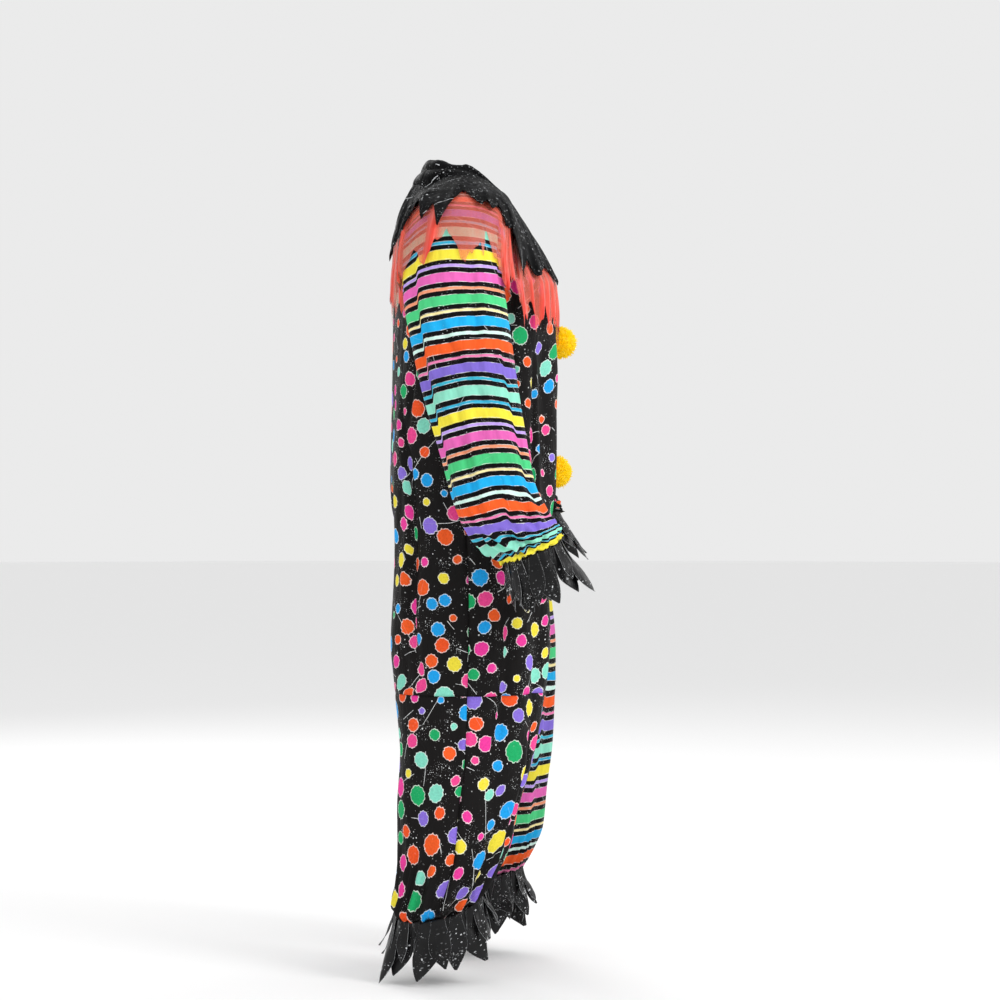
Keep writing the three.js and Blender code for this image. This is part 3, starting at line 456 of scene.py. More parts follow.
SLEEVE_CREASES = [
    (-1, 0.3, 0.06, 0.6, 0.03, 0.014, -3.5),
    (-1, 0.1, 0.16, 0.42, 0.2, -0.014, -4),
    (-1, 0.55, 0.97, 0.86, 0.9, 0.014, -4.5),
    (-1, 0.7, 0.07, 0.97, 0.1, 0.016, -5),
    (-1, 0.8, 0.82, 0.98, 0.9, -0.016, -5),
    (-1, 0.12, 0.8, 0.4, 0.76, 0.014, -4),
    (-1, 0.15, 0.42, 0.6, 0.45, 0.016, -4),
    (-1, 0.5, 0.6, 0.9, 0.57, -0.016, -4),
    (-1, 0.84, 0.95, 0.99, 0.07, 0.014, -6),
    (-1, 0.83, 0.86, 0.985, 0.95, 0.014, -5),
    (-1, 0.86, 0.14, 0.99, 0.06, -0.014, -5),
    (-1, 0.4, 0.9, 0.66, 0.08, 0.012, -3),
    (-1, 0.56, 0.84, 0.7, 0.96, 0.012, -3),
    (1, 0.28, 0.04, 0.62, 0.98, 0.015, -3.5),
    (1, 0.12, 0.2, 0.45, 0.17, 0.014, -4),
    (1, 0.56, 0.92, 0.88, 0.96, -0.014, -4.5),
    (1, 0.72, 0.1, 0.97, 0.06, 0.016, -5),
    (1, 0.15, 0.78, 0.5, 0.74, 0.014, -4),
    (1, 0.2, 0.5, 0.7, 0.46, 0.016, -4),
]
PLEATS = [  # side, from share and turn, to share and turn, cloth taken up in mm
    (-1, 0.3, 0.89, 0.76, 0.81, -15),
    (-1, 0.5, 0.13, 0.86, 0.17, 8),
    (-1, 0.76, 0.03, 1.03, 0.96, 9),
    (1, 0.34, 0.86, 0.8, 0.8, -12),
    (1, 0.46, 0.12, 0.92, 0.2, 9),
]
TUCKS = [  # side, from z and turn, to z and turn, cloth that the fold swallows in mm
    (-1, -400, 0.79, -930, 0.58, 24),
    (-1, -630, 0.41, -1070, 0.445, 22),
    (-1, -320, 0.257, -650, 0.25, 20),
    (-1, -980, 0.29, -1260, 0.34, 18),
    (1, -460, 0.76, -900, 0.6, 20),
    (1, -640, 0.4, -1020, 0.43, 18),
]
LEG_PLEATS = [  # side, from z and turn, to z and turn, cloth taken up in mm
    (1, -770, 0.15, -1240, 0.135, -10),
    (1, -960, 0.62, -1230, 0.58, 9),
    (-1, -1010, 0.3, -1260, 0.34, 8),
]


# %% Heights of folds
def folds_of(folds, side, along, turn, wrap=False):
    """Each fold of one side, how far along it every place is, 0 to 1, and how far off its line in turns."""
    for fold in folds:
        fold_side, start, start_turn, stop, stop_turn = fold[:5]
        if fold_side != side:
            continue
        t = (along - start) / (stop - start)
        if wrap and abs(stop_turn - start_turn) > 0.5:
            stop_turn += np.sign(start_turn - stop_turn)
        off = turn - mix(start_turn, stop_turn, np.clip(t, 0, 1))
        yield fold, t, off - np.round(off) if wrap else off


def swell(t, power):
    """Grows from 0 at one end of a fold and fades to 0 at the other: a half sine to a power."""
    return np.sin(np.pi * np.clip(t, 0, 1)) ** power


def fold_height(folds, side, along, turn, wrap=False):
    """Sum of the folds: depth times a half sine along the fold times a bell across it."""
    return sum(
        depth * swell(t, 0.7) * np.exp(-((off / width) ** 2))
        for (*_, width, depth), t, off in folds_of(folds, side, along, turn, wrap)
    )


def crease_height(folds, side, along, turn, wrap=False):
    """As fold_height, with a low ridge beside each trough, on the side of the width's sign. Creases
    wander."""
    height = 0
    for (_, _, start_turn, _, _, width, depth), t, off in folds_of(folds, side, along, turn, wrap):
        across = off / (1.2 * width) + 0.5 * np.sin(5 * t + 40 * start_turn)
        bell = np.exp(-(across**2)) - 0.5 * np.exp(-((across - 1.5) ** 2) / 1.4)
        height = height + 1.6 * depth * swell(t, 0.8) * bell
    return height


def pleat_shift(pleats, side, along, turn):
    """How far the pleats move the print down: a step at each pleat's line, on the side of it that the sign
    gives, which fades at the pleat's ends and round the tube."""
    shift = 0
    for (*_, taken), t, off in folds_of(pleats, side, along, turn, wrap=True):
        beside = off * np.sign(taken)
        fade = 1 - ease(beside / 0.12 - 1)
        shift = shift + abs(taken) * swell(t, 0.5) * ease(beside / 0.012 + 0.5) * fade
    return shift


def tuck_shift(side, along, turn):
    """How much cloth the tucks swallow on the way from the side seam: a step at each tuck's line, which fades
    at its two ends. Dots on the line are squeezed, as on the steep side of a fold."""
    shift = 0
    for (_, _, start_turn, _, _, taken), t, off in folds_of(TUCKS, side, along, turn):
        beyond = off * np.sign(start_turn - 0.5)
        shift = shift + taken * swell(t, 0.4) * ease(beyond / 0.011 + 0.5)
    return shift


def soft_drape(across, along, seed):
    """Gentle unevenness of hanging cloth, about 1 mm: four long waves whose phases wander."""
    wave = np.sin(across / 37 + 0.9 * np.sin(along / 140 + seed) + seed)
    wave += 0.7 * np.sin(across / 61 - along / 230 + 2.1 * seed)
    wave += 0.5 * np.sin(across / 23 + along / 95 + 1.3 * np.sin(across / 90) + 3.7 * seed)
    return wave + 0.4 * np.sin(along / 48 + across / 130 + 5.1 * seed)


def flutes(turn, count, seed):
    """Uneven gathers: waves round the edge whose spacing and height wander."""
    wander = 0.35 * np.sin(2 * np.pi * 3 * turn + seed) + 0.2 * np.sin(2 * np.pi * 7 * turn + 2 * seed)
    strength = 0.75 + 0.25 * np.sin(2 * np.pi * 5 * turn + 1.7 * seed)
    return strength * np.sin(2 * np.pi * count * turn + 2 * np.pi * wander)


print(len(BODY_FOLDS) + len(SLEEVE_FOLDS), "large folds,", len(BODY_CREASES) + len(SLEEVE_CREASES), "creases")

# %% [markdown]
# ## Body panels
# The body is four panels that meet at the centre, the sides and the shoulders, and four lower leg panels hang
# from a seam at the knee. A panel's grid runs across from its centre edge to its side seam, and down from the
# shoulder. The cloth map measures across from the side seam and down in millimetres of cloth, so the print
# keeps its scale and is squeezed only where the cloth is really gathered.

# %% Body panels
COLUMNS, YOKE_ROWS, TRUNK_ROWS = 66, 46, 148
CALM_SEAM, CALM_KNEE = 30, 25  # soft waves die out this far from the seams
GATHER_Z, GATHER_OVER, ANKLE_GATHER = -1120, 165, 5.2  # where the flutes start, their growth and height
HEM_Z = -1290  # the hem turns in below it
STRAIGHT_FROM = 20  # row of a leg panel below which it is cut straight, and gathered
SEAM_DEEP, PUCKER = 1.3, 0.5
BACK_PANELS_FROM, LEG_PANELS_FROM = 530, 170  # where they are cut, across the cloth


def body_normal(side, turn, z):
    """Outward normal from neighbouring points. Past the centre it mirrors above the crotch and goes on round
    the leg below it, so both panels lean the same way at their seam."""
    over = z > CROTCH_Z

    def around(t):
        past = (t < 0) | (t > 1)
        folded = np.where(over, np.where(t < 0, -t, 2 - t), np.where(t < 0, t + 1, t - 1))
        p = body_point(side, np.where(past, folded, t), z)
        p[..., 0] *= np.where(past & over, -1, 1)
        return p

    across = around(turn + 0.004) - around(turn - 0.004)
    down = body_point(side, turn, z - 2) - body_point(side, turn, z + 2)
    normal = -side * np.cross(across, down)
    on_edge = (turn == 0) | (turn == 1)
    normal[..., 0] *= np.where(on_edge & over, 0, 1)
    normal = np.where((on_edge & (np.abs(z - CROTCH_Z) < 0.5))[..., None], (0, 0, -1), normal)
    return unit(normal)


def row_places(points):
    """How far each point lies along its row, and the whole length of the row."""
    steps = np.linalg.norm(np.diff(points, axis=1), axis=2)
    along = np.concatenate([np.zeros((len(points), 1)), np.cumsum(steps, axis=1)], axis=1)
    return along, along[:, -1:]


def inset(points, top=False, bottom=False, left=None, right=None):
    """Moves the edges of a grid inwards by half of the seam gap."""

    def nearer(edge, inner):
        return edge + unit(inner - edge) * SEAM_GAP / 2

    if left is not None:
        points[left, 0] = nearer(points[left, 0], points[left, 1])
    if right is not None:
        points[right, -1] = nearer(points[right, -1], points[right, -2])
    if top:
        points[0] = nearer(points[0], points[1])
    if bottom:
        points[-1] = nearer(points[-1], points[-2])
    return points


def seam_pinch(distance, along, seed):
    """Cloth sinks into a seam, and puckers beside it in short uneven waves that die out in 16 mm."""
    wave = np.sin(along / 4.1 + 1.7 * np.sin(along / 23 + seed)) * (0.6 + 0.4 * np.sin(along / 31 + 2 * seed))
    return -SEAM_DEEP * np.exp(-((distance / 4.5) ** 2)) + PUCKER * wave * np.exp(-((distance / 9) ** 2))


def sag(height, across, along, seed):
    """How far the print moves with the cloth: it hangs lower in a trough and wanders a few millimetres."""
    return -0.4 * height + 1.6 * soft_drape(across, along, seed)


def flat_map(u, v):
    return stack(u, v, 0)[..., :2]


def cut_from(u, v, back, place):
    """Each panel has its own place on the cloth, so dots end at the seams. u runs from the side seam."""
    return flat_map(u + BACK_PANELS_FROM + place if back else -u - place, v)


def turns_across(back):
    """From the centre front or back to the side seam."""
    share = np.linspace(0, 0.5, COLUMNS)
    return 1 - share if back else share


def body_panel(side, back):
    """Yoke rows from the shoulder down to the chest line, then level rows down to the knee seam."""
    share = np.linspace(0, 1, COLUMNS)
    rises = np.linspace(1, 0, YOKE_ROWS)
    levels = np.linspace(CHEST_Z, KNEE_Z, TRUNK_ROWS)[1:]
    near = np.abs(levels - CROTCH_Z).argmin()
    levels[near] = CROTCH_Z
    turn = turns_across(back)
    s, r = np.meshgrid(share, rises)
    t, z = np.meshgrid(turn, levels)
    points = np.concatenate([yoke_point(side, s, r, back), body_point(side, t, z)])
    normals = grid_normals(points, np.array([side * 100.0, 5.0, -400.0]))
    normals[len(rises) :] = body_normal(side, t, z)
    normals[: len(rises), 0, 0] = 0
    normals = unit(normals)
    along, whole = row_places(points)
    in_yoke = np.arange(len(points))[:, None] < len(rises)
    u = np.where(in_yoke, whole[len(rises)], whole) - along
    steps = np.linalg.norm(np.diff(points[: len(rises)], axis=0), axis=2)
    climb = np.concatenate([np.cumsum(steps[::-1], axis=0)[::-1], np.zeros((1, COLUMNS))])
    v = np.concatenate([CHEST_Z + climb, z])
    turns = np.broadcast_to(turn, v.shape)
    height = fold_height(BODY_FOLDS, side, v, turns) + crease_height(BODY_CREASES, side, v, turns)
    from_side, from_middle = whole - along, along
    under_arm = 1 - 0.8 * np.exp(-((from_side / 70) ** 2)) * ease((v + 420) / 150)
    free = ease(np.minimum(from_side, from_middle) / CALM_SEAM) * ease((v - KNEE_Z) / CALM_KNEE)
    free = free * ease(np.arange(len(v))[:, None] / 8)
    seed = 1.3 + side * 0.4 + back
    height *= np.where(height > 0, under_arm, 1)
    height += 1.1 * soft_drape(u + seed * 90, v, seed) * free * under_arm
    height += seam_pinch(from_side, v, seed) * np.where(v < CHEST_Z - 10, 1, 0.4)
    height += seam_pinch(from_middle, v, seed + 1) * 0.7 + seam_pinch(v - KNEE_Z, u, seed + 2)
    points = points + normals * height[..., None]
    below = np.concatenate([np.zeros(len(rises), bool), levels < CROTCH_Z + 1])
    points = inset(points, top=True, bottom=True, left=below, right=slice(None))
    v_map = v + sag(height, u, v, seed) * free + pleat_shift(LEG_PLEATS, side, v, turns)
    return points, cut_from(u + tuck_shift(side, v, turns), v_map, back, 0), normals


def leg_panel(side, back):
    """Level rows from the knee seam to the elastic, with flutes that deepen towards it. The print is measured
    along the flutes, so it looks squeezed on their steep sides."""
    finer_from = -1225
    levels = np.concatenate([np.linspace(KNEE_Z, finer_from, 56), np.linspace(finer_from, ANKLE_Z, 24)[1:]])
    t, z = np.meshgrid(turns_across(back), levels)
    points, normals = body_point(side, t, z), body_normal(side, t, z)
    along, whole = row_places(points)
    cut_width = np.maximum(whole, whole[STRAIGHT_FROM])
    u = (whole - along) * cut_width / whole
    gather = ease((GATHER_Z - z) / GATHER_OVER) ** 1.5 * np.where(z < HEM_Z, 0.8, 1)
    seed = 2.1 + side * 0.7
    height = fold_height(BODY_FOLDS, side, z, t) + crease_height(BODY_CREASES, side, z, t)
    height += ANKLE_GATHER * gather * (flutes(t, 24, seed) + flutes(t, 13, seed + 2))
    from_side, from_middle = whole - along, along
    free = ease(np.minimum(from_side, from_middle) / CALM_SEAM) * ease((KNEE_Z - z) / CALM_KNEE)
    height += 1.2 * soft_drape(u + seed * 90, z, seed + back) * free
    height += seam_pinch(from_side, z, seed) + seam_pinch(from_middle, z, seed + 1)
    height += seam_pinch(KNEE_Z - z, u, seed + 2)
    points = points + normals * height[..., None]
    points = inset(points, top=True, left=slice(None), right=slice(None))
    over_flutes, whole_flutes = row_places(stack(along, height, 0))
    u_map = (1 - over_flutes / whole_flutes) * cut_width
    v = z + sag(height, u, z, seed) * free + pleat_shift(LEG_PLEATS, side, z, t)
    return points, cut_from(u_map + tuck_shift(side, z, t), v, back, LEG_PANELS_FROM), normals


# %% [markdown]
# ## Sleeves
# A sleeve is one wide tube from the armhole down to elastic above the wrist, where it blouses over its own
# gathers. Its rings come from a table: the outer and inner point of each in the front view, and the middle,
# half depth and tilt of each in the side view. Cloth on a bent arm also slides in lengthwise pleats, which
# step the stripes.

# %% Sleeves
RIGHT_SLEEVE = table(
    "row out_x out_z in_x in_z y deep rise",
    (1, 222, -50, 190.5, -172, 20, 83, 1),
    (2, 261, -77, 192, -186, 25, 86, 2),
    (3, 292, -117, 192, -196, 29, 87, 4),
    (4, 309, -174, 192, -212, 31, 87, 6),
    (5, 316, -247, 194, -252, 26, 88, 8),
    (6, 322, -322, 200, -322, 14, 86, 9),
    (7, 328, -408, 210, -408, -2, 81, 10),
    (8, 335, -495, 220, -495, -22, 75, 12),
    (9, 342, -576, 229, -576, -41, 71, 15),
    (10, 347, -626, 231, -620, -62, 69, 20),
    (11, 346, -663, 235, -648, -88, 62, 22),
    (12, 336, -683, 248, -664, -107, 45, 16),
)
LEFT_ARM = dict(from_z=-322, to_z=-669, forward=14, up=40)
SLEEVE_GIRTH = 470
SLEEVE_SLACK = 1.025  # length of cloth to a length of sleeve
SLEEVE_LENGTH = 772  # of cloth, down to the middle of its ruffle
SLEEVE_ROWS, SLEEVE_COLUMNS = len(RIGHT_SLEEVE["row"]), 168
WRIST_FROM, WRIST_OVER = 0.77, 0.21  # shares of the sleeve where its gathers start, and over which they grow
RUFFLE_FROM, RUFFLE_OVER = 0.976, 0.024


def ring_angle(turn):
    """Turn 0 is the top or outside, 0.25 the front, 0.5 the inside, 0.75 the back."""
    return np.pi * (0.5 - 2 * turn)


def sleeve_point(side, row, angle):
    """A squared oval on each row of the table, and straight lines from the armhole to the first one."""
    row, angle = np.broadcast_arrays(np.asarray(row, float), np.asarray(angle, float))
    r = read(RIGHT_SLEEVE, np.maximum(row, 1))
    up, fore = rounded(np.sin(angle), 0.94), rounded(np.cos(angle), 0.94)
    middle_z = (r["out_z"] + r["in_z"]) / 2
    bent = (LEFT_ARM["from_z"] - middle_z) / (LEFT_ARM["from_z"] - LEFT_ARM["to_z"])
    raised = ease(bent) if side > 0 else 0
    x = (r["out_x"] + r["in_x"]) / 2 + (r["out_x"] - r["in_x"]) / 2 * up
    z = middle_z + (r["out_z"] - r["in_z"]) / 2 * up + r["rise"] * fore + LEFT_ARM["up"] * raised
    y = r["y"] - r["deep"] * fore - LEFT_ARM["forward"] * raised
    ring = stack(side * x, y, z)
    near = np.clip(row, 0, 1)[..., None]
    return mix(armhole(side, angle), ring, near)


def sleeve(side):
    """Rings from the armhole to the elastic, closed round, with gathers at the wrist and a small ruffle at
    its end. The columns start under the arm, where the sleeve's own seam is."""
    shares = [np.linspace(0, 0.8, 96), np.linspace(0.8, 0.972, 40)[1:], np.linspace(0.972, 1, 18)[1:]]
    share = np.concatenate(shares)
    turn = np.linspace(0.5, 1.5, SLEEVE_COLUMNS, endpoint=False)
    across = (turn - 1) * SLEEVE_GIRTH
    t, s = np.meshgrid(turn % 1, share)
    points = sleeve_point(side, s * SLEEVE_ROWS, ring_angle(t))
    middle = points.mean(axis=1, keepdims=True)
    normals = grid_normals(points, middle, wrap=True)
    outside = points[None, :, SLEEVE_COLUMNS // 2]
    outer = row_places(outside)[0].T
    fore = np.cos(ring_angle(t))
    rise = read(RIGHT_SLEEVE, np.maximum(s * SLEEVE_ROWS, 1))["rise"]
    slope = ease((s - 0.2) / 0.5)
    front_bow = rise * np.abs(fore) + mix(0, 5, slope) * np.abs(fore) ** 3
    back_drop = mix(mix(24, 17, slope), 2, ease((s - 0.7) / 0.2))
    bow = np.where(fore > 0, front_bow, (back_drop - rise) * fore**2)
    v = -SLEEVE_SLACK * (outer - bow) + pleat_shift(PLEATS, side, s, t)
    seed = 4.2 + side
    gather = ease((s - WRIST_FROM) / WRIST_OVER)
    v += gather * 5 * flutes(t - 0.6 * s, 11, seed + 1)
    v += 1.3 * soft_drape(across, outer, seed)
    v = mix(v, -SLEEVE_LENGTH - 640 * (s - 0.985), ease((s - 0.88) / 0.1))
    u = across + gather * 5 * flutes(t + 0.5 * s, 22, seed + 2)
    height = fold_height(SLEEVE_FOLDS, side, s, t, wrap=True)
    height += crease_height(SLEEVE_CREASES, side, s, t, wrap=True)
    inner = np.exp(-(((t - 0.5) / 0.17) ** 2)) * (1 - ease((s - 0.35) / 0.2))
    free = ease(outer / 40) * (1 - 0.85 * inner)
    height += 1.3 * soft_drape(np.abs(t - 0.5) * SLEEVE_GIRTH, outer, seed) * free
    height += gather**1.5 * (4.4 * flutes(t + 0.5 * s, 22, seed) + 4.6 * flutes(t - 0.6 * s, 11, seed + 1))
    ruffle = np.clip((s - RUFFLE_FROM) / RUFFLE_OVER, 0, 1)
    twist = np.sin(2 * np.pi * (38 * t + 1.1 * ruffle + 0.12 * np.sin(2 * np.pi * 5 * t)))
    height += np.sin(np.pi * np.minimum(ruffle * 1.15, 1)) ** 0.6 * (4.2 + 1.5 * twist)
    height += seam_pinch(outer, u, seed) * 0.8 + ease(1 - outer / 60) * 1.2 * flutes(t, 30, seed) * free
    points = points + normals * height[..., None]
    points[0, :, 0] += side * SEAM_GAP
    return points, flat_map(u, v), normals


print("shapes of the panels are ready")

# %% [markdown]
# ## Collars
# Two ragged layers lie over the shoulders, sheer red below and black satin on top. Loose cloth bridges the
# hollows between neck and sleeve, so its resting shape is found first: rays towards the shoulders give where
# the suit is in each direction, and averaging over the neighbours lets the cloth hang across dips. Each layer
# then follows lines outwards from the neck. Where a line ends is a jagged edge with long and short points.

# %% The drape of the shoulders
DRAPE_CENTRE = np.array([0.0, 8.0, -140.0])
DRAPE_TURNS, DRAPE_TILTS, DRAPE_PASSES = 240, 84, 110
DRAPE_FROM, DRAPE_TO = np.radians(12), np.radians(142)
RAY_START = 900  # distance from the centre at which the rays start
LINE_STEPS = 100  # points along a line of the collar
STEEP_FROM, STEEP_OVER = 5, 12  # differences between neighbours at which the farthest one takes over


def direction(turn, tilt):
    """Turn 0 looks to the front and grows towards the left arm; tilt 0 is straight up."""
    return stack(np.sin(tilt) * np.sin(turn), -np.sin(tilt) * np.cos(turn), np.cos(tilt))


def drape_surface(grids):
    """Distances from the middle of the shoulders to the suit, and the same bridged over its hollows."""
    vertices, faces, first = [], [], 0
    for points, closed in grids:
        faces.append(first + grid_faces(*points.shape[:2], closed)[0])
        vertices.append(points.reshape(-1, 3))
        first += len(vertices[-1])
    tree = BVHTree.FromPolygons(np.concatenate(vertices).tolist(), np.concatenate(faces).tolist())
    turns = (np.arange(DRAPE_TURNS) + 0.5) * 2 * np.pi / DRAPE_TURNS
    tilts = np.linspace(DRAPE_FROM, DRAPE_TO, DRAPE_TILTS + 1)
    away = direction(turns[:, None], tilts[None, :]).reshape(-1, 3)
    hits = [tree.ray_cast(Vector(DRAPE_CENTRE + RAY_START * d), Vector(-d)) for d in away]
    far = [RAY_START - hit[3] if hit[0] is not None else 0.0 for hit in hits]
    far = np.array(far).reshape(DRAPE_TURNS, -1)
    known = far > 0
    near = np.where(known, 1 / np.where(known, far, 1), 0)
    keep_flat = np.cos(tilts[1] - tilts[0])
    for _ in range(DRAPE_PASSES):
        left, right = np.roll(near, 1, 0), np.roll(near, -1, 0)
        up, down = np.roll(near, 1, 1), np.roll(near, -1, 1)
        even = (left + right + (up + down) / keep_flat) / 4
        inner = known & (left > 0) & (right > 0) & (up > 0) & (down > 0)
        inner[:, [0, -1]] = False
        near = np.where(inner, np.minimum(1 / np.where(known, far, 1), even), near)
    return far, np.where(known, 1 / np.where(known, near, 1), 0)


def drape_distance(grid, turn, tilt):
    """Mixes the four nearest directions; the more they differ, the more the farthest one counts."""
    place = turn / (2 * np.pi) * DRAPE_TURNS - 0.5 + DRAPE_TURNS
    down = np.clip((tilt - DRAPE_FROM) / (DRAPE_TO - DRAPE_FROM) * DRAPE_TILTS, 0, DRAPE_TILTS - 0.001)
    i, j = np.floor(place).astype(int), np.floor(down).astype(int)
    a, b = grid[i % DRAPE_TURNS, j], grid[(i + 1) % DRAPE_TURNS, j]
    c, d = grid[i % DRAPE_TURNS, j + 1], grid[(i + 1) % DRAPE_TURNS, j + 1]
    most = np.maximum(np.maximum(a, b), np.maximum(c, d))
    least = np.minimum(np.minimum(a, b), np.minimum(c, d))
    even = mix(mix(a, b, place - i), mix(c, d, place - i), down - j)
    return mix(even, most, ease((most - least - STEEP_FROM) / STEEP_OVER))


def neckline(turn):
    """The neck opening at a turn of the drape."""
    signed = np.where(turn > np.pi, turn - 2 * np.pi, turn)
    side, angle = np.where(signed < 0, -1, 1), np.abs(signed)
    back = angle > np.pi / 2
    across = np.sin(angle) / NECK["wide"]
    along = np.abs(np.cos(angle)) / np.where(back, NECK["aft"], NECK["fore"])
    share = NECK_SHARE * np.arctan2(across, along) / (np.pi / 2)
    front_edge, back_edge = top_edge(1, share, False), top_edge(1, share, True)
    edge = np.where(back[..., None], back_edge, front_edge)
    return edge * stack(side, 1, 1)


def collar_lines(hangs, turn):
    """Lines over the draped shape, one per turn, and the distance along each."""
    neck = neckline(turn)
    start = neck - DRAPE_CENTRE
    start_tilt = np.arccos(start[:, 2] / np.linalg.norm(start, axis=1)) + np.radians(3)
    tilt = mix(start_tilt[:, None], DRAPE_TO, np.linspace(0, 1, LINE_STEPS)[None, :])
    turns = np.broadcast_to(turn[:, None], tilt.shape)
    far = drape_distance(hangs, turns, tilt)
    points = DRAPE_CENTRE + direction(turns, tilt) * far[..., None]
    lines = np.concatenate([neck[:, None], points], axis=1)
    return lines, row_places(lines)[0]


def at_reach(lines, along, reach):
    """Points at given distances along the lines."""
    i = np.clip((along[:, :, None] <= reach[:, None, :]).sum(axis=1) - 1, 0, along.shape[1] - 2)
    column = np.arange(len(lines))[:, None]
    a, b = along[column, i], along[column, i + 1]
    t = ((reach - a) / np.maximum(b - a, 1e-6))[..., None]
    return mix(lines[column, i], lines[column, i + 1], t)


# %% Jagged edges of the collars
BLACK_TEETH = [  # degrees from the front, reach of the tip, reach of the notch after it
    (0, 188, 164),
    (24, 197, 174),
    (50, 208, 188),
    (62, 238, 190),
    (74, 214, 188),
    (80, 206, 190),
    (84, 208, 158),
    (99, 264, 206),
    (105, 242, 178),
    (113, 254, 198),
    (129, 192, 158),
    (146, 180, 152),
    (163, 188, 154),
    (180, 178, 154),
]
RED_TEETH = [  # the same columns
    (0, 250, 232),
    (20, 276, 240),
    (37, 294, 250),
    (49, 304, 254),
    (59, 302, 256),
    (76, 337, 262),
    (90, 320, 264),
    (103, 322, 298),
    (112, 338, 286),
    (128, 314, 268),
    (145, 296, 254),
    (163, 302, 250),
    (180, 286, 250),
]
LOOSE_THREADS = [  # degrees from the front, length
    (2.5, 48),
    (6.5, 72),
    (10, 40),
    (14.5, 66),
    (19, 38),
    (25, 55),
    (31, 30),
    (62, 34),
    (84, 38),
]


def degrees_from_front(turn):
    """0 at the centre front and 180 at the nape, the same on both sides."""
    return np.degrees(np.where(turn > np.pi, 2 * np.pi - turn, turn))


def jagged_edge(teeth, turn, sharpness):
    """Reach of the edge: flanks between tips and notches, bent inwards a little, the same on both sides."""
    degrees = degrees_from_front(turn)
    tips, reach, notch = np.array(teeth, float).T
    i = np.clip(np.searchsorted(tips, degrees, side="right") - 1, 0, len(tips) - 2)
    f = (degrees - tips[i]) / (tips[i + 1] - tips[i])
    from_tip = np.where(f < 0.5, reach[i], reach[i + 1])
    t = np.abs(f - 0.5) * 2
    return mix(notch[i], from_tip, t**sharpness)


def ragged(turn, size, seed):
    """Small tears: three saw-toothed waves, each a strength, its teeth in half a turn and a shift."""
    total = -1
    for strength, count, shift in ((2, 31, 0.3), (1.2, 53, 0.7), (0.8, 97, 0.1)):
        total = total + strength * np.abs((turn * count / np.pi + shift * seed) % 1 - 0.5)
    return size * total


def loose_threads(turn):
    """Frayed strands of the red layer: spikes a few millimetres wide in front of the chest, on both sides."""
    degrees = degrees_from_front(turn)
    longer = np.zeros(turn.shape)
    for centre, length in LOOSE_THREADS:
        longer = np.maximum(longer, length * np.clip(1 - np.abs(degrees - centre) / 0.85, 0, 1))
    return longer


def radial_folds(turn, share, folds):
    """Folds that run outwards and grow with the reach, one for each row of a table."""
    degrees = np.degrees(turn)
    height = 0
    for centre, wide, tall, start in folds:
        off = (degrees - centre + 180) % 360 - 180
        bend = 2.5 * np.sin(share * 3 + centre)
        bell = np.exp(-(((off - bend) / wide) ** 2))
        height = height + tall * bell * ease((share - start) / (1.02 - start))
    return height


BLACK_FOLDS = [  # turn in degrees, width in degrees, height, share of the reach where it starts
    (276, 3.2, 9, 0.3),
    (264, 2.6, 7, 0.35),
    (250, 4, 8, 0.25),
    (297, 3.4, 8, 0.3),
    (312, 4, 6, 0.3),
    (232, 4, 6, 0.3),
    (211, 5, 6, 0.3),
    (338, 5, 4, 0.35),
    (20, 5, 4, 0.3),
    (44, 4, 6, 0.3),
    (66, 3.4, 8, 0.3),
    (85, 3, 8, 0.3),
    (99, 3, 8, 0.35),
    (118, 4, 8, 0.3),
    (141, 5, 6, 0.3),
    (166, 5, 6, 0.3),
]
RED_FOLDS = [  # the same columns
    (286, 2, 9, 0.55),
    (292, 1.8, 8, 0.5),
    (299, 2.2, 10, 0.5),
    (306, 1.8, 8, 0.5),
    (313, 2, 9, 0.5),
    (321, 2, 8, 0.45),
    (330, 2.4, 7, 0.4),
    (341, 2, 6, 0.45),
    (352, 2, 5, 0.5),
    (257, 2, 8, 0.4),
    (246, 2.4, 7, 0.4),
    (228, 3, 7, 0.35),
    (207, 3.4, 7, 0.3),
    (190, 3, 6, 0.3),
    (9, 2, 6, 0.5),
    (21, 2.4, 7, 0.45),
    (33, 2, 8, 0.45),
    (45, 2.4, 9, 0.5),
    (58, 2, 8, 0.5),
    (70, 2.2, 9, 0.5),
    (88, 2.4, 8, 0.4),
    (104, 3, 8, 0.35),
    (124, 3, 7, 0.3),
    (147, 3.4, 7, 0.3),
    (168, 3, 6, 0.3),
]


def neck_roll(turn, reach):
    """The top of the black layer is rolled over loosely round the neck. Half rounds stand side by side along
    the reach, thickest beside the nape, and a fat lump of rolled cloth lies on each side behind the
    shoulder."""
    degrees = np.degrees(turn)
    from_nape = np.abs(degrees - 180)
    tall = np.interp(from_nape, [0, 30, 60, 90, 120, 180], [7, 11, 14, 10, 3, 0])
    tall = tall * (1 + 0.16 * np.sin(degrees / 9 + 1) + 0.1 * np.sin(degrees / 5.3))
    first = np.sqrt(np.clip(1 - ((reach - 13) / 15) ** 2, 0, 1))
    second = np.sqrt(np.clip(1 - ((reach - 41) / 14) ** 2, 0, 1)) * ease((110 - from_nape) / 50)
    lump = np.exp(-(((from_nape - 62) / 24) ** 4) - ((reach - 34) / 20) ** 4)
    return tall * (first + 0.55 * second) + 7 * lump


COLLAR_MIDDLE, NECK_RADIUS = 175, 70  # radius at which the radial map keeps its scale, and where reach starts
RED_START = 9  # the red layer starts this far from the neckline


